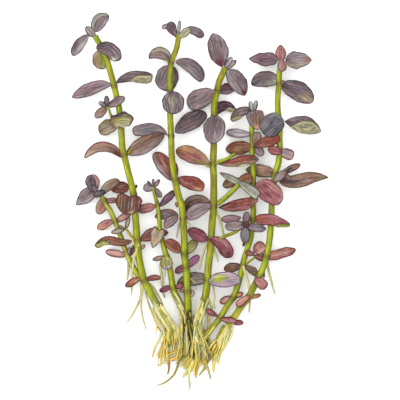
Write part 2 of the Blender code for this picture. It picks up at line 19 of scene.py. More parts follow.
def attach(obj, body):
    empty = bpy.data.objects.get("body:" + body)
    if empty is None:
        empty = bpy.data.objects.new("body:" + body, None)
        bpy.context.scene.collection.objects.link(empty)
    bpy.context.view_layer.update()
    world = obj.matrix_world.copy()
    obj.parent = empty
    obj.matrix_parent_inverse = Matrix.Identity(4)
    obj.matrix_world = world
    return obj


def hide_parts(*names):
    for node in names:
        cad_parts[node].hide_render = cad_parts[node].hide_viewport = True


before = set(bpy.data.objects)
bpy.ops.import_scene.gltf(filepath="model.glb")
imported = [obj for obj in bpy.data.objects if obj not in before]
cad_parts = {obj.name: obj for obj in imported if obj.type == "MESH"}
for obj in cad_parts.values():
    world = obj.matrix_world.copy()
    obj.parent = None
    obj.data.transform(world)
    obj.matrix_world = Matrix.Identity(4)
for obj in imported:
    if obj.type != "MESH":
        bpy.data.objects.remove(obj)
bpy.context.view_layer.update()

LOG = logging.getLogger("bacopa")

MM = 0.001
TINY = 1e-6  # keeps a division from failing
PLAN_CENTRE = (0.405, -0.745)

BLADE_THICKNESS = 0.55
BLADE_COLUMNS = 36
FOLDED_COLUMNS = 64
BLADE_RINGS = 24
SMALL_COLUMNS = 28
SMALL_RINGS = 18
LEAST_HEIGHT = 0.15  # that a blade's lower side keeps over the surface
ROLL_RADIUS = 0.32  # of a leaf edge that has turned over
LEAST_ROLL = 1e-4  # below this the edge lies flat
MOST_ROLL = 0.45  # of the half-width
MOST_STRIP = 2.1
RIB_DEPTH = 0.3
RIB_WIDTH = 0.45
CUP = (-0.5, 0.7)  # least and most that a blade's edges stand over its middle
EDGE_LIFT = (0.15, 0.4)  # least and most height of the waves along its edges
EDGE_WAVES = 1.6
OUTLINE_WAVES = (2.2, 4.6)  # coarse and fine

UPPER_SIDE = -0.05  # share of the half-thickness from which up the skin has the upper side's colour
TIP_RIM = 0.9  # what the outline multiplies the distance from the tip by
FOOT_RIM = 0.3  # what it adds to the distance from the foot
END_REACH = 0.42  # share of a blade over which the colour of its foot or tip fades
TIP_START = 0.58
UNDER_FOOT_REACH = 0.3
FLANK_START = 0.15
FLANK_REACH = 0.6
FLANK_DEPTH = 0.85
PATCH_REACH = 1.35  # of its size, where a patch has faded

STEM_SIDES = 16
STEM_STEP = 1.1
FOOT_SINK = 16.0  # length over which a stem comes down to the height of its foot
UPPER_FADE = 10.0  # lengths over which its colour changes at the top and at the old foot
AGED_FADE = 14.0
LIT_SIDE = 0.35  # of a stem's half-width: how far left of its middle the painted lit side turns green
LIT_FADE = 0.5
SHADE_SIDE = 0.2  # how far right of its middle the green turns darker: painted shade on the side away from the key light
SHADE_SIDE_FADE = 0.4
SHADE_SIDE_DEPTH = 0.35
EDGE_SHADE_START = 0.66  # where its painted shade along the edges starts
EDGE_SHADE_REACH = 0.26
EDGE_SHADE_DEPTH = 0.9
OCHRE_DEPTH = 0.7
RING_DEPTH = 0.8
MOST_RING_DEPTH = 0.9
NODE_SWELL = 0.2  # share that a stem is thicker at a leaf node
NODE_REACH = 0.9
NODE_RING_REACH = 1.4

ROOT_SIDES = 6
ROOT_STEP = 2.2
ROOT_TAPER = 0.55
LEAST_ROOT_RADIUS = 0.07
ROOT_CLEARANCE = 0.03  # over the surface
ROOT_LIT_SIDE = 0.08  # how far left of its middle the painted light on a root is brightest
ROOT_SHADE_START = 0.62  # of a root's half-width, where the painted shade at its edge starts
ROOT_SHADE_REACH = 0.4
ROOT_SHADE_DEPTH = 0.55
TUFT_STEP = 1.5
LANDING_SCATTER = 0.2  # of the end line
END_SCATTER = (0.6, 1.6)  # of a tuft's spread, across and along
KNEE = (0.4, 0.6)  # share of the last stretch at which a fine root bends
ROOT_SAG = (1.0, 2.0)
RADIUS_SCATTER = (0.7, 1.3)
LEAST_END_HEIGHT = 0.6

STEM_SHIFT = 11.0  # between the streaks of one tube and the next
THREAD_SHIFT = 5.0
ROOT_SHIFT = 3.0
SWEEP_RIM = 9.0  # stands for far from any edge, on a stem or root
LIGHT_ON_BUNCH = 1.83  # light that reaches a skin facing up, which its pigment allows for

# Each pair of these holds the noise at which a mark starts to show and that at which it is full.
STREAK_EDGE = (0.36, 0.64)
VEIN_EDGE = (0.5, 1.0)
VEIN_GAPS = (0.36, 0.6)
GLINT_EDGE = (0.68, 0.95)
GLINT_GAPS = (0.4, 0.55)
SHEEN_GAPS = (0.42, 0.56)
OUTLINE_EDGE = (0.35, 0.6)
WARMTH_EDGE = (0.38, 0.62)

OUTLINE_FULL = 0.4  # this and the next three are in widths of the dark outline, from the edge
SHEEN_START = 1.5
SHEEN_FADE = 1.8
SHEEN_GONE = 2.8
BUMP_STRENGTH = 0.6
BLOTCH_SCALE = 210.0  # per metre
GRAIN_SCALE = 1700.0
GRAIN_DEPTH = 0.8
VEIN_WARP = 1.6
WARP_STRETCH = (0.16, 0.35, 1.0)
WARM = (1.06, 0.98, 0.9, 1.0)  # what blotches multiply the tint by
COLD = (0.96, 0.97, 1.02, 1.0)
SHADE = (0.3, 0.24, 0.27, 1.0)  # what veins and the outline multiply it by
SHEEN = (1.6, 1.62, 1.62, 1.0)  # what the painted sheen, a pale line inside the outline, multiplies it by
# colour of the painted glints
GLINT_COLOUR = (0.33, 0.3, 0.3, 1.0)


class Side(Enum):
    """Side of a leaf, seen from its foot towards its tip."""

    LEFT = 1
    RIGHT = -1


class Slot(Enum):
    """Material slots of the record."""

    SHOOT_GREEN = "shoot_green"
    LEAF_PURPLE = "leaf_purple"
    LEAF_RED = "leaf_red"
    LEAF_PINK = "leaf_pink"
    LEAF_OLIVE = "leaf_olive"
    ROOT_AMBER = "root_amber"


class Hue(Enum):
    """Colours of the plant, as screen values from 0 to 255."""

    PLUM_BLACK = (78, 63, 70)
    DARK_PLUM = (96, 79, 86)
    PLUM = (118, 101, 106)
    SLATE = (118, 115, 121)
    MAUVE = (136, 121, 125)
    PALE_MAUVE = (158, 146, 150)
    MIST = (190, 182, 184)
    AUBERGINE = (114, 82, 98)
    DUSTY_ROSE = (150, 126, 134)
    LAVENDER = (170, 150, 166)
    WINE = (116, 54, 68)
    MAROON = (110, 56, 52)
    BLOOD = (138, 66, 56)
    RED_BROWN = (142, 80, 64)
    ROSE_RED = (158, 94, 92)
    ROSE_BROWN = (154, 104, 94)
    ROSE = (176, 122, 118)
    PINK = (202, 156, 144)
    CERISE = (152, 84, 98)
    MAGENTA = (164, 96, 134)
    BARK = (90, 64, 50)
    DARK_COCOA = (104, 78, 68)
    BROWN = (134, 90, 66)
    COCOA = (142, 111, 94)
    TAN = (164, 134, 114)
    BEIGE = (190, 166, 136)
    BRICK = (162, 96, 68)
    RUST = (140, 90, 54)
    AMBER_BROWN = (182, 136, 96)
    ORANGE = (208, 148, 108)
    OLIVE = (122, 114, 62)
    MOSS = (150, 148, 76)
    PALE_MOSS = (156, 154, 106)
    LEAF_GREEN = (176, 190, 76)
    KHAKI = (158, 148, 122)
    SAGE = (158, 159, 144)
    PALE_OLIVE = (176, 172, 134)
    PALE_GREEN = (192, 206, 162)
    PEARL = (206, 203, 200)
    CHARCOAL = (86, 84, 92)
    UMBER = (118, 86, 68)
    GRAPE = (92, 58, 82)
    STEM_BRIGHT = (178, 190, 52)
    STEM_GREEN = (152, 168, 32)
    # painted shade of a stem's right side and edges
    STEM_SHADE = (98, 110, 26)
    STEM_OCHRE = (150, 134, 40)
    STEM_YELLOW = (206, 204, 92)
    ROOT_CREAM = (252, 252, 181)
    ROOT_YELLOW = (251, 233, 117)
    ROOT_AMBER = (233, 194, 89)
    ROOT_BROWN = (171, 130, 52)
    ROOT_OLIVE = (177, 171, 67)
    ROOT_MOSS = (134, 138, 52)
    ROOT_DARK = (84, 76, 44)
    ROOT_GREY = (197, 199, 149)
    THREAD_PALE = (226, 224, 158)

    @property
    def linear(self) -> Vector:
        """The pigment in linear light."""
        return Vector(tuple(((part / 255 + 0.055) / 1.055) ** 2.4 for part in self.value)) / LIGHT_ON_BUNCH


def to_metres(point: Vector) -> Vector:
    """A point of the tables as a point of the scene."""
    return Vector((point.x - PLAN_CENTRE[0], point.y - PLAN_CENTRE[1], point.z)) * MM


def ease(share: float) -> float:
    """A smooth step from 0 to 1 while the share goes from 0 to 1."""
    share = min(max(share, 0.0), 1.0)
    return share * share * (3 - 2 * share)


class Term:
    """A node's output in a Python expression on values, each step of which adds its Math node."""

    def __init__(self, graph: "Graph", socket: bpy.types.NodeSocket) -> None:
        """Wrap one output socket.

        Args:
            graph: The graph that the socket's node is in.
            socket: The output.
        """
        self.graph = graph
        self.socket = socket

    def _math(self, operation: str, *values: "Term | float") -> "Term":
        """One Math node on the values."""
        return self.graph.node("ShaderNodeMath", {"operation": operation}, dict(enumerate(values)))

    def __add__(self, other: "Term | float") -> "Term":
        """Sum."""
        return self._math("ADD", self, other)

    __radd__ = __add__

    def __sub__(self, other: "Term | float") -> "Term":
        """Difference."""
        return self._math("SUBTRACT", self, other)

    def __rsub__(self, other: float) -> "Term":
        """Difference from a number."""
        return self._math("SUBTRACT", other, self)

    def __mul__(self, other: "Term | float") -> "Term":
        """Product."""
        return self._math("MULTIPLY", self, other)

    __rmul__ = __mul__


class Graph:
    """The node graph of one material."""

    def __init__(self, name: str) -> None:
        """Start an empty graph.

        Args:
            name: The material's name.
        """
        self.material = bpy.data.materials.new(name)
        self.material.use_nodes = True
        self.tree = self.material.node_tree
        self.tree.nodes.clear()

    def node(
        self, kind: str, settings: dict | None = None, sockets: dict | None = None, out: str | int = 0
    ) -> Term:
        """Add one node.

        Args:
            kind: The node's type.
            settings: Its settings, which are set first.
            sockets: Values or terms for its inputs, by index, name or identifier.
            out: The output that is wanted, by index, name or identifier.

        Returns:
            The wanted output.
        """
        made = self.tree.nodes.new(kind)
        for key, value in (settings or {}).items():
            setattr(made, key, value)
        for key, value in (sockets or {}).items():
            socket = self._find(made.inputs, key)
            if isinstance(value, Term):
                self.tree.links.new(value.socket, socket)
            else:
                socket.default_value = value
        return Term(self, self._find(made.outputs, out) if made.outputs else None)

    @staticmethod
    def _find(sockets: Sequence, key: str | int) -> bpy.types.NodeSocket:
        """The socket with this index, identifier or name."""
        if isinstance(key, int):
            return sockets[key]
        exact = [socket for socket in sockets if socket.identifier == key]
        return exact[0] if exact else sockets[key]

    def attribute(self, name: str, out: str) -> Term:
        """A value that the mesh carries at each point."""
        return self.node("ShaderNodeAttribute", {"attribute_name": name}, out=out)

    def blend(
        self, factor: Term | float, first: Term | tuple, second: Term | tuple, kind: str = "MIX"
    ) -> Term:
        """Mix two colours.

        Args:
            factor: Share of the second colour.
            first: The first colour.
            second: The second colour.
            kind: How they mix.

        Returns:
            The mixed colour.
        """
        settings = {"data_type": "RGBA", "blend_type": kind}
        sockets = {"Factor_Float": factor, "A_Color": first, "B_Color": second}
        return self.node("ShaderNodeMix", settings, sockets, "Result_Color")

    def step(self, value: Term, low: float, high: float) -> Term:
        """A smooth step from 0 at low to 1 at high. Low may be the larger number."""
        settings = {"interpolation_type": "SMOOTHSTEP"}
        return self.node("ShaderNodeMapRange", settings, {0: value, 1: low, 2: high, 3: 0.0, 4: 1.0})

    def noise(self, place: Term, scale: float, detail: float, roughness: float = 0.55) -> Term:
        """Noise around 0.5 at a place."""
        sockets = {"Vector": place, "Scale": scale, "Detail": detail, "Roughness": roughness}
        return self.node("ShaderNodeTexNoise", sockets=sockets)

    def stretch(self, place: Term, factors: tuple[float, float, float]) -> Term:
        """A place with its axes multiplied by three factors."""
        return self.node("ShaderNodeVectorMath", {"operation": "MULTIPLY"}, {0: place, 1: factors})

    def tinted(self, tint: Term | tuple, factors: Term | tuple) -> Term:
        """A colour multiplied by another or by a shade."""
        return self.blend(1.0, tint, factors, "MULTIPLY")

    def surface(self, colour: Term, roughness: Term, height: Term, depth: float, specular: float) -> None:
        """End the graph in a skin.

        Args:
            colour: Base colour.
            roughness: Roughness.
            height: What the bump follows, from 0 to 1.
            depth: Depth of the bump in metres.
            specular: Specular level.
        """
        bump = {"Strength": BUMP_STRENGTH, "Distance": depth, "Height": height}
        normal = self.node("ShaderNodeBump", sockets=bump, out="Normal")
        look = {
            "Base Color": colour,
            "Roughness": roughness,
            "Normal": normal,
            "Specular IOR Level": specular,
        }
        skin = self.node("ShaderNodeBsdfPrincipled", sockets=look)
        self.node("ShaderNodeOutputMaterial", sockets={"Surface": skin})


@dataclass(frozen=True)
class Skin:
    """Finish of living tissue: the tint of each point under streaks, veins, blotches and a dark outline,
    with a painted sheen inside the outline and painted glints.

    The mesh carries "tint", the colour; "blade", its place along and across in millimetres with a number of
    its own; "share", the place across from -1 to 1; and "rim", how far it is from an edge in millimetres.
    """

    name: str
    streak_along: float  # how slowly streaks change along the piece, per millimetre
    streak_across: float  # how quickly they change across it, per millimetre
    streak_depth: float
    blotch_depth: float
    roughness: float
    bump: float  # millimetres
    specular: float
    vein_count: float = 0.0  # to each side
    vein_depth: float = 0.0
    rim_width: float = 0.0  # millimetres
    rim_depth: float = 0.0
    sheen_depth: float = 0.0  # of the painted sheen, the pale line inside the dark one
    glint_depth: float = 0.0  # of the painted glints, pale flecks

    def material(self) -> bpy.types.Material:
        """Build the material."""
        graph = Graph(self.name)
        tint = graph.attribute("tint", "Color")
        blade = graph.attribute("blade", "Vector")
        share = graph.attribute("share", "Fac")
        rim = graph.attribute("rim", "Fac")
        place = graph.node("ShaderNodeTexCoord", out="Object")

        fibre = graph.stretch(blade, (self.streak_along, self.streak_across, 1.0))
        streak = graph.step(graph.noise(fibre, 1.0, 4.0, 0.62), *STREAK_EDGE)
        warp = graph.noise(graph.stretch(blade, WARP_STRETCH), 1.0, 2.0)
        turns = (share * self.vein_count + warp * VEIN_WARP) * math.tau
        wave = graph.node("ShaderNodeMath", {"operation": "SINE"}, {0: turns})
        vein = graph.step(wave, *VEIN_EDGE) * graph.step(warp, *VEIN_GAPS)
        blotch = graph.noise(place, BLOTCH_SCALE, 3.0)
        grain = graph.noise(place, GRAIN_SCALE, 2.0)

        shade = 1.0 + (streak - 0.5) * (2 * self.streak_depth) + (grain - 0.5) * GRAIN_DEPTH
        shade = shade + (blotch - 0.5) * self.blotch_depth
        colour = graph.tinted(tint, shade)
        # Painted glints: pale flecks along the streaks.
        glint = graph.step(streak * 0.7 + grain * 0.5, *GLINT_EDGE) * graph.step(warp, *GLINT_GAPS)
        colour = graph.blend(glint * self.glint_depth, colour, GLINT_COLOUR)
        warm = graph.tinted(colour, WARM)
        cold = graph.tinted(colour, COLD)
        colour = graph.blend(graph.step(blotch, *WARMTH_EDGE), cold, warm)
        dark = graph.tinted(tint, SHADE)
        colour = graph.blend(vein * self.vein_depth, colour, dark)
        # Painted sheen: a pale line just inside the dark outline.
        inner = graph.step(rim, self.rim_width, self.rim_width * SHEEN_START)
        inner = inner * graph.step(rim, self.rim_width * SHEEN_GONE, self.rim_width * SHEEN_FADE)
        inner = inner * graph.step(warp, *SHEEN_GAPS)
        colour = graph.blend(inner * self.sheen_depth, colour, graph.tinted(tint, SHEEN))
        uneven = 0.75 + 0.25 * graph.step(blotch, *OUTLINE_EDGE)
        outline = graph.step(rim, self.rim_width, self.rim_width * OUTLINE_FULL) * uneven
        colour = graph.blend(outline * self.rim_depth, colour, dark)

        height = streak * 0.6 + vein * 0.3 + grain * 0.1
        graph.surface(colour, self.roughness + (blotch - 0.5) * 0.25, height, self.bump * MM, self.specular)
        return graph.material


LEAF_SKIN = Skin(
    "leaf_skin", streak_along=0.16, streak_across=1.6, streak_depth=0.34, blotch_depth=0.8, roughness=0.52,
    bump=0.22, specular=0.13, vein_count=3.6, vein_depth=0.62, rim_width=0.7, rim_depth=1.05,
    sheen_depth=0.5, glint_depth=0.34,
)
STEM_SKIN = Skin(
    "stem_skin", streak_along=0.11, streak_across=2.0, streak_depth=0.32, blotch_depth=0.6, roughness=0.5,
    bump=0.1, specular=0.1,
)
ROOT_SKIN = Skin(
    "root_skin", streak_along=0.2, streak_across=1.5, streak_depth=0.18, blotch_depth=0.4, roughness=0.6,
    bump=0.08, specular=0.08,
)


@dataclass(frozen=True)
class Patch:
    """A soft-edged patch of another colour: its place and reach along and across a leaf, as shares."""

    along: float
    across: float
    length: float
    width: float
    hue: Hue

    def weight(self, along: float, across: float) -> float:
        """How strongly the patch shows at a place."""
        away = math.hypot((along - self.along) / self.length, (across - self.across) / self.width)
        return ease(PATCH_REACH - away)


@dataclass(frozen=True)
class Coat:
    """Colours of one leaf: foot, middle and tip of its upper side, two flanks, underside and patches."""

    foot: Hue
    body: Hue
    tip: Hue
    left: Hue | None = None
    right: Hue | None = None
    under: Hue = Hue.KHAKI
    patches: tuple[Patch, ...] = ()

    def colour(self, along: float, across: float, upper: bool) -> Vector:
        """The colour at one place.

        Args:
            along: Share of the way from foot to tip.
            across: Place across, 1 at the left edge and -1 at the right.
            upper: Whether the place is on the upper side.

        Returns:
            A linear colour.
        """
        if not upper:
            return self.under.linear.lerp(self.foot.linear, 0.5 * ease(1 - along / UNDER_FOOT_REACH))
        colour = self.body.linear.lerp(self.foot.linear, ease(1 - along / END_REACH))
        colour = colour.lerp(self.tip.linear, ease((along - TIP_START) / END_REACH))
        flank = self.left if across > 0 else self.right
        if flank is not None:
            show = FLANK_DEPTH * ease((abs(across) - FLANK_START) / FLANK_REACH)
            colour = colour.lerp(flank.linear, show)
        for patch in self.patches:
            colour = colour.lerp(patch.hue.linear, patch.weight(along, across))
        return colour


def hues(names: str) -> tuple[Hue | None, ...]:
    """The hues with these names, where - stands for none."""
    return tuple(None if name == "-" else Hue[name] for name in names.split())


def coat(names: str, *patches: tuple[float, float, float, float, str], under: Hue = Hue.KHAKI) -> Coat:
    """Make a leaf's coat from one row of the tables.

    Args:
        names: The hues of its foot, middle and tip, and then of its left and right flank where they differ.
        patches: Each patch's place and reach along and across, and its hue.
        under: The hue of its underside.

    Returns:
        The coat.
    """
    spots = tuple(Patch(*spot, Hue[name]) for *spot, name in patches)
    return Coat(*hues(names), under=under, patches=spots)


@dataclass(frozen=True)
class Flap:
    """A leaf edge that has turned over: its side, its width, and where on the blade it starts and ends."""

    side: Side
    width: float
    start: float
    end: float

    def strength(self, along: float) -> float:
        """Share of the full turn at a place along the leaf."""
        span = self.end - self.start
        rise = ease((along - self.start) / (0.5 * span))
        return rise if self.end >= 1 else rise * ease((self.end - along) / (0.5 * span))


class Tissue:
    """A mesh in the making, with what its skin reads at each point."""

    def __init__(self) -> None:
        """Start an empty mesh with its layers."""
        self.bm = bmesh.new()
        layers = self.bm.verts.layers
        self.tint = layers.float_color.new("tint")
        self.blade = layers.float_vector.new("blade")
        self.share = layers.float.new("share")
        self.rim = layers.float.new("rim")

    def mark(
        self,
        vert: bmesh.types.BMVert,
        tint: Vector,
        blade: tuple[float, float, float],
        share: float,
        rim: float,
    ) -> None:
        """Give one point what the skin reads there.

        Args:
            vert: The point.
            tint: Linear colour.
            blade: Place along and across in millimetres, and a number of the piece's own.
            share: Place across from -1 to 1.
            rim: Distance from an edge in millimetres.
        """
        vert[self.tint] = (*tint, 1.0)
        vert[self.blade] = blade
        vert[self.share] = share
        vert[self.rim] = rim

    def sweep(
        self,
        route: Sequence[Vector],
        radii: Sequence[float],
        sides: int,
        paint: Callable[[Vector, float, float], Vector],
        own: float,
    ) -> None:
        """Draw a closed tube along a route by extruding a ring from point to point.

        Args:
            route: Points in the tables' millimetres.
            radii: Radius at each point.
            sides: Sides of the tube.
            paint: Gives the colour for a point of the route, a place to the right and a place up (-1 to 1).
            own: A number that shifts the skin's pattern on this tube.
        """
        ring = bmesh.ops.create_circle(self.bm, cap_ends=True, segments=sides, radius=1.0)["verts"]
        around = [vert.co.to_2d() for vert in ring]
        heading = Vector((0, 0, 1))
        across, upward = Vector((1, 0, 0)), Vector((0, 1, 0))
        run = 0.0
        for index, point in enumerate(route):
            behind, ahead = route[max(index - 1, 0)], route[min(index + 1, len(route) - 1)]
            fresh = (ahead - behind).normalized()
            turn = heading.rotation_difference(fresh)
            across, upward, heading = turn @ across, turn @ upward, fresh
            if index:
                run += (point - route[index - 1]).length
                ring = self._extrude(ring)
            # The right in plan, which the painted light and shade of stems and roots follow.
            right = Vector((0, 0, 1)).cross(heading)
            right = right.normalized() if right.length > TINY else Vector((1, 0, 0))
            if right.x < 0:
                right.negate()
            for turn_of, vert in zip(around, ring):
                out = across * turn_of.x + upward * turn_of.y
                vert.co = to_metres(point + out * radii[index])
                place = (run, math.atan2(out.z, out.dot(right)) * radii[index], own)
                self.mark(vert, paint(point, out.dot(right), out.z), place, 0.0, SWEEP_RIM)
        self.bm.faces.new(ring)

    def _extrude(self, ring: list[bmesh.types.BMVert]) -> list[bmesh.types.BMVert]:
        """Extrude a ring's edges once.

        Args:
            ring: The ring's points in order.

        Returns:
            The new ring's points in the same order.
        """
        edges = [self.bm.edges.get((first, second)) for first, second in zip(ring, ring[1:] + ring[:1])]
        made = bmesh.ops.extrude_edge_only(self.bm, edges=edges)["geom"]
        fresh = {item for item in made if isinstance(item, bmesh.types.BMVert)}
        beyond = []
        for vert in ring:
            ends = (edge.other_vert(vert) for edge in vert.link_edges)
            beyond.append(next(end for end in ends if end in fresh))
        return beyond

    def piece(self, name: str, material: bpy.types.Material, slot: Slot, *nodes: str) -> bpy.types.Object:
        """End the mesh as a piece of the bunch.

        Args:
            name: The piece's name.
            material: Its skin.
            slot: The record's slot that it belongs to; not used.
            nodes: The CAD nodes that it stands for.

        Returns:
            The piece.
        """
        bmesh.ops.recalc_face_normals(self.bm, faces=self.bm.faces)
        self._face_outwards()
        mesh = bpy.data.meshes.new(name)
        self.bm.to_mesh(mesh)
        self.bm.free()
        mesh.shade_smooth()
        mesh.materials.append(material)
        obj = bpy.data.objects.new(name, mesh)
        bpy.context.collection.objects.link(obj)
        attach(obj, "root")
        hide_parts(*nodes)
        LOG.info("%s: %d faces", name, len(mesh.polygons))
        return obj

    def _face_outwards(self) -> None:
        """Turn each closed part of the mesh that is inside out."""
        left = set(self.bm.faces)
        while left:
            part, front = set(), {left.pop()}
            while front:
                part |= front
                front = {other for face in front for edge in face.edges for other in edge.link_faces} - part
            left -= part
            volume = sum(self._cone(face) for face in part)
            if volume < 0:
                bmesh.ops.reverse_faces(self.bm, faces=list(part))

    @staticmethod
    def _cone(face: bmesh.types.BMFace) -> float:
        """Signed volume between one face and the origin, times six."""
        first, *others = [loop.vert.co for loop in face.loops]
        return sum(first.dot(second.cross(third)) for second, third in zip(others, others[1:]))


@dataclass(frozen=True)
class Leaf:
    """One leaf blade: foot, tip, how far it reaches to each side of the line between them, and its coat."""

    name: str
    foot: tuple[float, float, float]
    tip: tuple[float, float, float]
    left: float
    right: float
    coat: Coat
    widest: float = 0.58  # where along the blade it is widest
    full: float = 1.2  # below 1 the ends are blunt, above 1 they are pointed
    bow: float = 0.0  # how far the middle bends to the left
    arch: float = 0.5
    flaps: tuple[Flap, ...] = ()
    skew: float = 0.0  # how much further up the left side is widest than the right
    twist: float = 0.0  # how far the first half bends to the left and the second to the right
    ruffle: float = 0.03  # depth of the waves in the outline
    lobe: float = 0.0  # how far its sides reach back past the foot

    def width(self, along: float, hand: Side) -> float:
        """Share of the full half-width at a place along one side of the blade."""
        widest = self.widest + self.skew * hand.value
        rise = self.full * widest
        fall = self.full * (1 - widest)
        peak = widest**rise * (1 - widest) ** fall
        return along**rise * (1 - along) ** fall / peak if 0 < along < 1 else 0.0

    def grow(self, tissue: Tissue, columns: int, rings: int) -> None:
        """Add the blade to a mesh: a ball of rings, flattened and bent into shape.

        Args:
            tissue: The mesh.
            columns: Points round the blade.
            rings: Rings from foot to tip.
        """
        luck = random.Random(self.name)
        own = luck.uniform(0, 90)
        cup = luck.uniform(*CUP)
        wave = luck.uniform(*EDGE_LIFT)
        phase = luck.uniform(0, math.tau)
        foot, tip = Vector(self.foot), Vector(self.tip)
        plan = (tip - foot).to_2d()
        ahead = plan.normalized()
        side = Vector((-ahead.y, ahead.x))
        length = (tip - foot).length
        broad = max(self.left, self.right)
        made = bmesh.ops.create_uvsphere(tissue.bm, u_segments=columns, v_segments=rings, radius=1.0)
        for vert in made["verts"]:
            ball = vert.co.copy()
            along = min(max((1 - ball.z) / 2, 0.0), 1.0)
            reach = max(math.sqrt(max(1 - ball.z**2, 0.0)), TINY)
            across, through = ball.x / reach, ball.y / reach
            hand = Side.LEFT if across >= 0 else Side.RIGHT
            width = self.width(along, hand)
            half = (self.left if hand is Side.LEFT else self.right) * width
            ripple = math.sin(math.tau * OUTLINE_WAVES[0] * along + phase * hand.value)
            ripple += 0.5 * math.sin(math.tau * OUTLINE_WAVES[1] * along - phase * 2 * hand.value)
            half *= 1 + self.ruffle * ripple
            strength = sum(flap.strength(along) for flap in self.flaps if flap.side is hand)
            strip = sum(flap.width * flap.strength(along) for flap in self.flaps if flap.side is hand)
            out, lift, lean, whole = self._roll(abs(across), half, strip, ROLL_RADIUS * strength)
            swing = 4 * along * (1 - along)
            middle = foot.lerp(tip, along) + Vector((0, 0, self.arch)) * swing
            middle += (side * (self.bow * swing + self.twist * math.sin(math.tau * along))).to_3d()
            turn = self.bow * 4 * (1 - 2 * along) + self.twist * math.tau * math.cos(math.tau * along)
            turn /= max(plan.length, TINY)
            bent = (side - ahead * turn).normalized()
            share = out / max(broad, TINY)
            thick = BLADE_THICKNESS / 2 * through * min(1.0, 4 * width)
            flat = middle.to_2d() + bent * hand.value * (out - math.sin(lean) * thick)
            flat -= ahead * (self.lobe * (across * (1 - along)) ** 2)
            rib = RIB_DEPTH * width * math.exp(-((out / RIB_WIDTH) ** 2))
            height = middle.z + lift + cup * share**2 - rib
            height += wave * abs(across) ** 3 * width * math.sin(math.tau * EDGE_WAVES * along + phase)
            height = max(height, LEAST_HEIGHT + BLADE_THICKNESS / 2) + math.cos(lean) * thick
            vert.co = to_metres(Vector((flat.x, flat.y, height)))
            seen = hand.value * min(abs(across) * whole / max(half, TINY), 1.0)
            tint = self.coat.colour(along, seen, through >= UPPER_SIDE)
            rim = min((1 - abs(across)) * whole, (1 - along) * length * TIP_RIM, FOOT_RIM + along * length)
            tissue.mark(vert, tint, (along * length, hand.value * abs(across) * whole, own), seen, rim)

    @staticmethod
    def _roll(across: float, half: float, strip: float, radius: float) -> tuple[float, float, float, float]:
        """Where a place across the blade comes to lie when the edge has turned over.

        Args:
            across: Place across as a share, 0 at the rib and 1 at the edge.
            half: Half-width that shows.
            strip: Width of the strip that lies turned over.
            radius: Radius of the turn.

        Returns:
            Distance out from the rib, height, angle of the blade there, and whole developed half-width.
        """
        radius = min(radius, half * MOST_ROLL)
        strip = min(strip, half * MOST_STRIP)
        if radius < LEAST_ROLL:
            return across * half, 0.0, 0.0, half
        crease = half - radius
        whole = crease + math.pi * radius + strip
        run = across * whole
        if run <= crease:
            return run, 0.0, 0.0, whole
        if run <= crease + math.pi * radius:
            lean = (run - crease) / radius
            return crease + radius * math.sin(lean), radius * (1 - math.cos(lean)), lean, whole
        return crease - (run - crease - math.pi * radius), 2 * radius, math.pi, whole


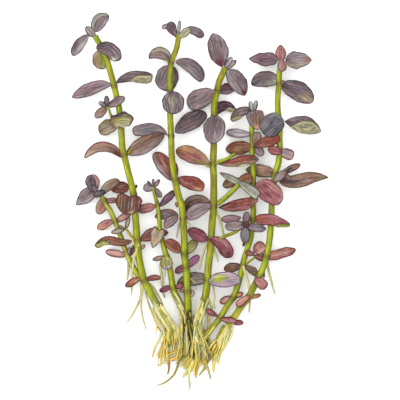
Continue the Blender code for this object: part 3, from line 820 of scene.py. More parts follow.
@dataclass(frozen=True)
class Shoot:
    """A stem or a side branch: its route in plan or in space, radii, heights, leaf nodes and colours, with
    painted light and shade across it.
    """

    route: tuple[tuple[float, ...], ...]
    top_radius: float
    foot_radius: float
    height: float = 7.0
    foot_height: float = 4.6
    joints: tuple[float, ...] = ()  # Y of each leaf node
    # colour of the painted lit left side, which turns into green further right
    lit_hue: Hue = Hue.STEM_BRIGHT
    green: Hue = Hue.STEM_GREEN
    aged: Hue = Hue.ROOT_OLIVE
    aged_from: float = -44.0  # Y below which it takes the colour of its old foot
    upper: Hue | None = None  # colour of its upper part, where it differs
    upper_from: float = -32.0  # Y above which it has that colour

    def points(self) -> list[Vector]:
        """The route as evenly spaced points in the tables' millimetres."""
        foot = self.route[-1][1]
        knots = []
        for place in self.route:
            sink = ease((place[1] - foot) / FOOT_SINK)
            lying = self.foot_height + (self.height - self.foot_height) * sink
            knots.append(Vector((place[0], place[1], place[2] if len(place) == 3 else lying)))
        return even_curve(knots, STEM_STEP)

    def near_node(self, point: Vector, reach: float) -> float:
        """How close a point is to a leaf node, 1 at the node itself."""
        return sum(math.exp(-(((point.y - joint) / reach) ** 2)) for joint in self.joints)

    def radius(self, point: Vector, share: float) -> float:
        """Radius at a point that lies this share of the way down."""
        plain = self.top_radius + (self.foot_radius - self.top_radius) * share
        swell = NODE_SWELL * self.near_node(point, NODE_REACH)
        return plain * (1.07 + swell + 0.06 * noise.noise(Vector((point.x * 0.3, point.y * 0.2, 3.0))))

    def paint(self, point: Vector, right: float, up: float) -> Vector:
        """Colour of the skin, with painted light on its left side and painted shade on its right side and
        along its edges.

        Args:
            point: Point of the route.
            right: How far to the right the place is, from -1 to 1.
            up: How far up it is, from -1 to 1; not used.

        Returns:
            A linear colour.
        """
        wander = noise.noise(Vector((point.x * 0.1, point.y * 0.13, right * 1.2)))
        drift = noise.noise(Vector((point.y * 0.05, 7.0, 2.0))) * 0.25
        lit_hue = self.lit_hue.linear
        if self.upper is not None:
            lit_hue = lit_hue.lerp(self.upper.linear, 0.85 * ease((point.y - self.upper_from) / UPPER_FADE))
        # Painted light: the left side keeps the lit hue, and the rest turns green.
        colour = lit_hue.lerp(self.green.linear, ease((right + LIT_SIDE + drift) / LIT_FADE))
        # Painted shade on the right side, away from the key light.
        shade_side = ease((right + drift - SHADE_SIDE) / SHADE_SIDE_FADE)
        colour = colour.lerp(Hue.STEM_SHADE.linear, SHADE_SIDE_DEPTH * shade_side)
        # Painted shade along both edges of the tube.
        edge = ease((abs(right) - EDGE_SHADE_START) / EDGE_SHADE_REACH)
        colour = colour.lerp(Hue.STEM_SHADE.linear, EDGE_SHADE_DEPTH * edge)
        colour = colour.lerp(Hue.STEM_OCHRE.linear, OCHRE_DEPTH * ease(wander * 2.0 + 0.05))
        ring = self.near_node(point, NODE_RING_REACH) * (0.55 + 0.45 * ease(abs(right) * 1.6))
        colour = colour.lerp(Hue.BARK.linear, min(RING_DEPTH * ring, MOST_RING_DEPTH))
        old = ease((self.aged_from - point.y) / AGED_FADE)
        return colour.lerp(self.aged.linear, (0.35 + 0.5 * ease(right + 0.5)) * old)

    def grow(self, tissue: Tissue, own: float) -> None:
        """Add the shoot to a mesh."""
        points = self.points()
        radii = [self.radius(point, index / (len(points) - 1)) for index, point in enumerate(points)]
        tissue.sweep(points, radii, STEM_SIDES, self.paint, own)


def even_curve(knots: Sequence[Vector], step: float) -> list[Vector]:
    """Points at about even distances on a smooth curve through some knots.

    Args:
        knots: The points that the curve goes through.
        step: Distance between two points.

    Returns:
        The points, with the first and last knot.
    """
    points = []
    for index in range(len(knots) - 1):
        before, first = knots[max(index - 1, 0)], knots[index]
        second, after = knots[index + 1], knots[min(index + 2, len(knots) - 1)]
        count = max(1, round((second - first).length / step))
        for part in range(count):
            t = part / count
            inner = (second - before) * t + (2 * before - 5 * first + 4 * second - after) * t**2
            outer = (3 * first - before - 3 * second + after) * t**3
            points.append(first + (inner + outer) / 2)
    return points + [knots[-1].copy()]


@dataclass(frozen=True)
class Root:
    """A fine root or a hanging root thread: its route in plan, its heights, radius and colours."""

    route: tuple[tuple[float, float], ...]
    start_height: float
    end_height: float
    radius: float
    hue: Hue = Hue.THREAD_PALE
    end_hue: Hue | None = None
    sag: float = 0.6  # below 1 it comes down early, above 1 late

    def points(self) -> list[Vector]:
        """The route as evenly spaced points in the tables' millimetres."""
        last = len(self.route) - 1
        knots = []
        for index, (x, y) in enumerate(self.route):
            drop = (index / last) ** self.sag
            knots.append(Vector((x, y, self.start_height + (self.end_height - self.start_height) * drop)))
        return even_curve(knots, ROOT_STEP)

    def grow(self, tissue: Tissue, own: float) -> None:
        """Add the root to a mesh."""
        points = self.points()
        last = len(points) - 1
        tapered = [self.radius * (1 - ROOT_TAPER * (index / last) ** 4) for index in range(last + 1)]
        radii = [max(radius, LEAST_ROOT_RADIUS) for radius in tapered]
        for point, radius in zip(points, radii):
            point.z = max(point.z, radius + ROOT_CLEARANCE)
        rank = {id(point): index / last for index, point in enumerate(points)}
        end = (self.end_hue or self.hue).linear

        def paint(point: Vector, right: float, up: float) -> Vector:
            """Colour at one place of this root, with painted shade along its edges."""
            colour = self.hue.linear.lerp(end, ease(rank[id(point)] * 1.2 - 0.2))
            # Painted shade along both edges, shifted so that the left side stays lit.
            edge = ease((abs(right + ROOT_LIT_SIDE) - ROOT_SHADE_START) / ROOT_SHADE_REACH)
            return colour.lerp(Hue.ROOT_DARK.linear, ROOT_SHADE_DEPTH * edge)

        tissue.sweep(points, radii, ROOT_SIDES, paint, own)


@dataclass(frozen=True)
class Tuft:
    """Fine roots that start along a line, follow it down and end along another line."""

    start: tuple[tuple[float, float], ...]
    end: tuple[tuple[float, float], tuple[float, float]]
    count: int
    heights: tuple[float, float]
    hues: tuple[Hue, ...]
    radius: float = 0.45
    breadth: float = 2.0  # how far from the line they lie to each side
    spread: float = 2.0  # how far from the end line they end
    wander: float = 0.5

    def roots(self, owner: str) -> list[Root]:
        """The tuft's roots in the mass that it belongs to, the same ones at each run."""
        luck = random.Random(f"{owner} {self.start} {self.end}")
        line = even_curve([Vector((*place, 0.0)) for place in self.start], TUFT_STEP)
        made = []
        for index in range(self.count):
            lane = (index + luck.random()) / self.count
            aside = self.breadth * (2 * lane - 1)
            first = luck.randrange(max(1, len(line) - 2))
            reach = len(line) - 1 - first
            route = []
            for step in range(3):
                spot = line[first + round(reach * step / 2)]
                x = spot.x + aside * (0.7 + 0.15 * step) + luck.uniform(-1, 1) * self.wander
                route.append((x, spot.y))
            landing = min(max(lane + luck.uniform(-LANDING_SCATTER, LANDING_SCATTER), 0), 1)
            last = Vector(self.end[0]).lerp(Vector(self.end[1]), landing)
            last += Vector([luck.uniform(-most, most) for most in END_SCATTER]) * self.spread
            knee = Vector(route[-1]).lerp(last, luck.uniform(*KNEE))
            knee += Vector((luck.uniform(-1, 1), luck.uniform(-0.5, 0.5))) * self.wander * 2
            route += [(knee.x, knee.y), (last.x, last.y)]
            hue = luck.choice(self.hues)
            start_height, end_height = (height + luck.uniform(-1, 1) for height in self.heights)
            start_height -= 0.2 * abs(aside) ** 1.5
            end_height = max(end_height, LEAST_END_HEIGHT)
            radius = self.radius * luck.uniform(*RADIUS_SCATTER)
            end_hue = luck.choice((hue, hue, Hue.ROOT_YELLOW))
            sag = luck.uniform(*ROOT_SAG)
            made.append(Root(tuple(route), start_height, end_height, radius, hue, end_hue, sag))
        return made


# Stems from tip to foot, each followed by the side branches that are one piece with it.
SHOOTS: dict[str, tuple[Shoot, ...]] = {
    "shoot_pale": (
        Shoot(((8.5, -2.2, 7.2), (14, 2.2, 7.4), (19.2, 7.6, 7.8)), 1.15, 1.3, lit_hue=Hue.LEAF_GREEN),
    ),
    "shoot_rosette": (
        Shoot(((7.0, -20.4, 7.2), (13, -18, 8.2), (17.5, -16.2, 9.3), (22.6, -12.5, 9.8)), 0.8, 0.8),
    ),
    "stem_1": (
        Shoot(((-52.5, 82), (-51.5, 80), (-50, 77.5), (-47, 71), (-44.5, 62.5), (-43, 57), (-40.5, 45.5),
            (-39.5, 37), (-39, 27.5), (-38, 22.5), (-36, 14), (-33.5, 4), (-32.5, -6), (-31.5, -20),
            (-31, -25), (-30.2, -31), (-29.2, -36), (-28.2, -40), (-25.5, -45), (-23.2, -49.5),
            (-21.2, -53), (-18.5, -56.5), (-16, -60), (-13, -64.5), (-11.5, -67)), 1.35, 1.8,
            foot_height=4.4, joints=(57, 37, 22.5, 2.5, -20, -40.5, -53), aged=Hue.ROOT_MOSS),
        Shoot(((-39.8, 36, 7), (-41.5, 38, 7.2), (-44.5, 42, 7.3), (-45.5, 45, 8.2), (-46.5, 46.5, 8.8)),
            0.7, 0.55),
        Shoot(((-31.8, -19.4, 7.2), (-33, -19.6, 7.6), (-35, -17.5, 7.9), (-37.2, -14.5, 8.4)), 0.8, 0.6,
            lit_hue=Hue.STEM_YELLOW, green=Hue.STEM_OCHRE),
        Shoot(((-52, 80.5, 6.8), (-53.6, 82, 6.6), (-55.8, 82, 6.4)), 0.7, 0.5, green=Hue.STEM_OCHRE),
        Shoot(((-38.4, 21.5, 6.6), (-36.6, 22.4, 6.4), (-34.2, 25.8, 6.2)), 0.9, 0.5),
    ),
    "stem_2": (
        Shoot(((-10.7, 82.4), (-11, 80), (-12, 75), (-14.5, 68.5), (-15, 62.5), (-15, 54.5), (-15, 42.5),
            (-14.5, 32), (-14.2, 22.5), (-13.5, 16), (-12.5, 10), (-11, 2.5), (-9.2, -3), (-8.5, -9.5),
            (-8, -17.5), (-7.8, -27), (-7, -34), (-6.5, -43), (-6.2, -49), (-6, -57), (-6, -62.5)),
            1.3, 1.75, joints=(68.5, 54.5, 32, 10, -9.5, -27, -34, -46), upper=Hue.STEM_OCHRE,
            aged_from=-55.0, upper_from=55.0),
        Shoot(((-14.6, 66.5, 6.8), (-15.6, 68.6, 6.6), (-17, 70, 6.4)), 0.8, 0.5),
    ),
    "stem_3": (
        Shoot(((12.5, 66), (11, 62.5), (9.5, 59), (8.5, 54.5), (7.2, 48), (7, 41.5), (6.8, 27.5), (6.5, 18),
            (6.8, 10), (6.7, -3.5), (6, -11.5), (5.5, -20), (5, -26), (4, -34.5), (3.7, -40.5), (3, -46),
            (2.3, -50), (1, -54), (-0.5, -58.5), (-1.5, -61.5)), 1.5, 1.75, foot_height=4.8,
            joints=(54.5, 41.5, 18, -3.5, -20, -40.5, -50), aged=Hue.ROOT_MOSS, upper=Hue.STEM_OCHRE,
            aged_from=-50.0),
        Shoot(((6.2, 18.6, 7), (4.6, 16.6, 6.8), (2.2, 18, 6.6)), 0.8, 0.5, lit_hue=Hue.LEAF_GREEN),
        Shoot(((6.8, 17.6, 7.4), (9.5, 19, 7.6), (13.4, 20.4, 7.2), (17.5, 23, 6.2)), 1.0, 0.85,
            lit_hue=Hue.LEAF_GREEN),
    ),
    "stem_4": (
        Shoot(((-23, 6.5), (-23.2, 5), (-22, 0), (-21, -4), (-20.3, -11.5), (-19.5, -17.5), (-17.8, -25),
            (-16.5, -29), (-15, -35), (-14.2, -40), (-13.6, -44), (-12, -48.5), (-10, -52), (-8.5, -55)),
            0.8, 1.8, height=6.0, foot_height=4.8, joints=(-2, -17.5, -29, -44)),
    ),
    "stem_5": (
        Shoot(((27, 44), (26, 37.5), (26, 32.5), (26, 26.5), (26.5, 16.5), (26.5, 8.5), (26.3, -1.5),
            (26.7, -6), (26, -14), (25, -20), (23.5, -25), (22.2, -29), (21.2, -33), (20.2, -38),
            (18.5, -44), (16.5, -49), (13.2, -53.5), (10, -59), (6.5, -63.5), (3.5, -67.5)), 1.25, 1.45,
            height=6.0, foot_height=4.4, joints=(32.5, 26.5, 8.5, -10, -33, -49, -59), aged_from=-55.0),
        Shoot(((21, -33.4, 6), (22, -33, 6.1), (24.5, -31, 6.2), (27.8, -28.6, 6.6)), 0.6, 0.5),
    ),
    "stem_6": (
        Shoot(((40.2, 67.6), (39.5, 62), (39.5, 58), (38.8, 51), (38.9, 44), (39.7, 39), (39.7, 30),
            (39.8, 25), (39.2, 18.5), (37.5, 13), (36.5, 5), (35.8, -2.5), (35.5, -11), (34.7, -20),
            (33.2, -28.5), (31.5, -34), (29.3, -38.5), (26.2, -45), (24, -49), (20.2, -54), (16.5, -59.5),
            (14, -63)), 1.35, 1.6, joints=(58, 39, 25, 13, -11, -28.5, -38.5, -49, -60)),
    ),
    "stem_7": (
        Shoot(((-50, 3), (-47.5, -1.5), (-45.5, -4.5), (-44, -7.5), (-42.5, -11), (-41, -15), (-39.5, -19),
            (-38, -23.5), (-36.7, -27), (-35.2, -30.5), (-33, -34.5), (-31, -38), (-29.5, -40.2)),
            1.15, 1.3, height=5.5, foot_height=5.2, joints=(-1, -11, -26), lit_hue=Hue.STEM_YELLOW,
            green=Hue.STEM_BRIGHT),
    ),
}

# Root threads that hang from the stems.
THREADS: dict[str, tuple[Root, ...]] = {
    "stem_1": (
        Root(((-30.75, -22), (-32, -26), (-33.25, -30), (-33.85, -35), (-34, -40), (-34.5, -47.5)),
            8.2, 0.8, 0.72, sag=2.4),
        Root(((-29, -39.5), (-29.3, -42.5), (-29.5, -46), (-30.1, -49.5), (-32, -54), (-34.5, -58.5),
            (-36.6, -61.25)), 6.8, 0.5, 0.72),
        Root(((-28.6, -41), (-28.75, -45), (-29.5, -50), (-29.4, -55), (-28.75, -59), (-27.1, -65.25)),
            6.4, 0.5, 0.55),
        Root(((-26.5, -41), (-25.5, -42), (-23.5, -43.5), (-21.5, -47), (-19.5, -50.5), (-18.5, -53)),
            6.4, 2.0, 0.55),
        Root(((-28.2, -41), (-27, -48), (-25.5, -53), (-24, -57), (-22.5, -61), (-21, -64),
            (-17.5, -68.75)), 6.4, 0.8, 0.55, end_hue=Hue.ROOT_YELLOW),
    ),
    "stem_2": (
        Root(((-8.8, -8.5), (-10, -11), (-11, -15), (-11.75, -19)), 6.8, 4.0, 0.55),
        Root(((-8, -9.8), (-6.5, -11), (-5, -12.5), (-5, -14)), 7.0, 5.5, 0.4),
        Root(((-6.8, -38), (-2, -42), (-1.75, -45)), 6.0, 4.6, 0.4),
    ),
    "stem_3": (
        Root(((7, -4.5), (8.5, -6.5), (10, -10), (11, -14), (12, -18)), 7.0, 4.0, 0.72),
        Root(((5, -20.5), (3, -22.5), (1.5, -27), (0.5, -31), (-0.25, -35)), 7.0, 4.0, 0.72),
        Root(((5.8, -22), (7.5, -26), (8.5, -28.5), (9, -31)), 7.0, 4.0, 0.55),
        Root(((4.6, -40.5), (6.25, -42), (7.25, -48), (7, -52), (7.4, -54.5)), 7.0, 4.0, 0.55),
        Root(((3.4, -49), (6, -54), (4.25, -57), (4.25, -61), (3.5, -65)), 6.0, 3.0, 0.72,
            end_hue=Hue.ROOT_YELLOW),
    ),
    "stem_4": (
        Root(((-17.4, -28), (-20, -33), (-19.25, -37.5), (-19, -41.5), (-18.5, -46.5), (-17.75, -49)),
            5.6, 1.4, 0.72),
        Root(((-17, -29.5), (-17.5, -35.5), (-17.5, -38.5)), 5.4, 3.0, 0.4),
    ),
    "stem_5": (
        Root(((21.5, -33), (22, -35), (23.5, -40), (24.75, -45), (25, -50), (24.5, -56.5)), 7.6, 3.0, 0.72,
            sag=3.0),
    ),
    "stem_6": (
        Root(((33.25, -28), (34, -34), (35.5, -40), (37.5, -47.5)), 6.5, 0.6, 0.72),
    ),
    "stem_7": (
        Root(((-33.75, -23), (-34.75, -26), (-35.5, -29), (-36, -33), (-36.1, -36), (-36.7, -40)),
            6.2, 0.6, 0.72),
    ),
}

# Main strands of the two masses of roots.
ROOTS: dict[str, tuple[Root, ...]] = {
    "root_mass": (
        Root(((-22, -53), (-19.5, -57), (-16.5, -61.5), (-13, -66)), 5.4, 4.4, 0.8, Hue.ROOT_MOSS),
        Root(((-24, -54.5), (-21.5, -59), (-18.5, -64), (-15, -69)), 4.8, 3.4, 0.6, Hue.ROOT_YELLOW),
        Root(((-20, -54), (-17, -59), (-14, -64), (-11, -69)), 5.6, 4.4, 0.6, Hue.ROOT_GREY),
        Root(((-14.5, -66), (-14.5, -69.5), (-15, -73)), 5.6, 3.4, 0.9, Hue.ROOT_BROWN),
        Root(((-19, -66), (-20, -68.5), (-22.5, -73.5), (-24, -79)), 4.0, 0.6, 0.6, Hue.ROOT_CREAM,
            Hue.ROOT_AMBER),
        Root(((-20, -60), (-21.5, -62.5), (-22, -65.5), (-22.5, -68)), 4.0, 1.2, 0.4, Hue.ROOT_YELLOW),
        Root(((-16, -71), (-17.5, -73.5), (-18.5, -75), (-19.5, -76)), 3.6, 1.2, 0.6, Hue.ROOT_AMBER),
        Root(((-16, -71), (-17.5, -73.5), (-19, -76.5), (-20.5, -79)), 3.2, 0.8, 0.6, Hue.ROOT_AMBER,
            Hue.ROOT_BROWN),
        Root(((-16.5, -71), (-17, -75), (-15.75, -80), (-15.5, -83.5), (-16.25, -87.5)), 3.4, 0.6, 0.7,
            Hue.ROOT_AMBER, Hue.ROOT_BROWN),
        Root(((-14.5, -69), (-14.5, -72.5), (-14.25, -77.5)), 4.0, 1.0, 0.6, Hue.ROOT_CREAM),
        Root(((-10, -76), (-12.5, -79), (-16, -80.5), (-21.5, -83.25)), 2.6, 0.6, 0.6, Hue.ROOT_AMBER,
            Hue.ROOT_CREAM),
        Root(((-6, -73), (-9, -76.5), (-12, -79.5), (-14, -80.75)), 3.0, 1.0, 0.8, Hue.ROOT_AMBER),
        Root(((-4, -73), (-6.5, -77.5), (-10, -80), (-11.5, -84), (-13, -87.5), (-15, -89.5),
            (-17.5, -91.5), (-21.5, -93)), 3.6, 0.5, 0.62, Hue.ROOT_MOSS, Hue.ROOT_OLIVE),
        Root(((-4, -74), (-5, -77.5), (-6.5, -80.5), (-8.5, -83)), 3.2, 1.0, 0.7, Hue.ROOT_YELLOW),
        Root(((-1.5, -75), (-2.5, -78.5), (-5.5, -81.5), (-8.75, -84.5)), 3.0, 0.9, 0.75, Hue.ROOT_YELLOW),
        Root(((-2, -77), (-3.5, -81.5), (-6, -85), (-8.75, -89)), 3.4, 0.7, 0.95, Hue.ROOT_YELLOW),
        Root(((-3, -79), (-4.5, -83), (-5.75, -87.5), (-5.25, -92), (-5.25, -95.5)), 2.8, 0.5, 0.65,
            Hue.ROOT_CREAM, Hue.ROOT_GREY),
        Root(((-0.5, -79), (-1, -83), (-1.75, -86), (-2.25, -89.5)), 2.4, 0.5, 0.7, Hue.ROOT_AMBER),
        Root(((3, -79), (3, -83), (1, -86), (-0.5, -88)), 2.4, 0.5, 0.65, Hue.ROOT_OLIVE),
        Root(((2, -77), (2.5, -81), (4, -85), (5.25, -90)), 3.0, 0.5, 0.8, Hue.ROOT_AMBER, Hue.ROOT_GREY),
    ),
    "root_bundle_right": (
        Root(((9, -70), (8, -75), (7, -81), (6.75, -86.5)), 3.2, 0.5, 0.95, Hue.ROOT_YELLOW),
        Root(((8.4, -71), (7.5, -75), (5, -79.5), (3.5, -82)), 4.0, 1.2, 0.8, Hue.ROOT_BROWN),
        Root(((12, -63), (9.5, -67.5), (7.5, -72.5), (4, -80)), 4.6, 1.6, 0.9, Hue.ROOT_OLIVE),
        Root(((14.5, -65), (12, -71), (8.5, -76), (7.5, -80)), 4.0, 1.0, 0.8, Hue.ROOT_YELLOW),
        Root(((15.5, -63.5), (16, -65.5), (15, -69), (12.5, -73), (10.5, -76.5), (9.5, -79), (9.25, -82.5)),
            3.6, 0.6, 0.7, Hue.ROOT_CREAM, Hue.ROOT_YELLOW),
        Root(((20, -50), (18.5, -54.5), (16.5, -59)), 5.0, 4.4, 0.7, Hue.ROOT_YELLOW),
    ),
}

# Fine roots of the same two masses.
TUFTS: dict[str, tuple[Tuft, ...]] = {
    "root_mass": (
        Tuft(((-23, -50), (-20, -55), (-16.8, -60), (-13.5, -65)), ((-17.5, -70), (-9, -72)),
            36, (8.6, 4.6), hues("ROOT_YELLOW ROOT_CREAM ROOT_GREY ROOT_CREAM ROOT_OLIVE ROOT_MOSS"),
            radius=0.42, breadth=2.7, spread=1.4, wander=0.3),
        Tuft(((-16.5, -64), (-13, -67), (-11, -70)), ((-19, -76), (-8, -79)), 13, (5.6, 2.0),
            hues("ROOT_AMBER ROOT_YELLOW ROOT_AMBER ROOT_BROWN"), radius=0.5, breadth=3.0, spread=1.6),
        Tuft(((-14, -46), (-11.5, -51), (-9, -56), (-8, -61)), ((-11, -72.5), (-4, -75)), 22, (7.2, 3.6),
            hues("ROOT_GREY ROOT_CREAM ROOT_OLIVE THREAD_PALE"), radius=0.4, breadth=1.6),
        Tuft(((-6.4, -55), (-6, -60), (-5.5, -65)), ((-8, -76), (-2, -78)), 26, (7.6, 3.4),
            hues("ROOT_MOSS ROOT_DARK ROOT_OLIVE ROOT_DARK ROOT_DARK"), radius=0.42, breadth=2.4),
        Tuft(((3.2, -49), (1.5, -54), (-0.5, -60), (-1.5, -64)), ((-5, -77), (5, -78)), 30, (8.0, 3.4),
            hues("ROOT_CREAM ROOT_YELLOW ROOT_OLIVE ROOT_GREY ROOT_YELLOW ROOT_MOSS"), breadth=2.4,
            spread=2.4),
        Tuft(((7, -62.5), (3.5, -67), (1, -70)), ((-3, -79), (3, -81)), 13, (5.4, 1.6),
            hues("ROOT_YELLOW ROOT_OLIVE ROOT_CREAM")),
        Tuft(((-4, -67), (-2, -70), (0, -73)), ((-16.5, -78), (-2, -86)), 25, (5.4, 1.0),
            hues("ROOT_YELLOW ROOT_AMBER ROOT_CREAM ROOT_YELLOW ROOT_CREAM"), radius=0.52, breadth=3.0,
            wander=0.9),
        Tuft(((-6, -58), (-3, -64), (0, -70)), ((-11, -79), (3, -82)), 21, (5.0, 1.2),
            hues("ROOT_MOSS ROOT_OLIVE ROOT_AMBER ROOT_DARK ROOT_YELLOW"), breadth=4.6, spread=2.4),
        Tuft(((-17, -65), (-17.5, -69)), ((-24, -79), (-17, -84)), 7, (4.0, 1.0),
            hues("ROOT_CREAM ROOT_YELLOW ROOT_AMBER"), breadth=1.6, spread=1.6, wander=0.8),
    ),
    "root_bundle_right": (
        Tuft(((14.6, -61), (13.2, -64.5), (11.5, -68)), ((3.5, -77), (9, -80)), 20, (5.2, 1.4),
            hues("ROOT_YELLOW ROOT_CREAM ROOT_OLIVE ROOT_CREAM ROOT_MOSS"), radius=0.5, breadth=1.9,
            spread=1.4),
        Tuft(((16, -58), (14.5, -61), (12.5, -65)), ((6, -74), (10, -77)), 8, (5.4, 2.4),
            hues("ROOT_YELLOW ROOT_OLIVE"), radius=0.4, breadth=0.9, spread=1.4),
    ),
}

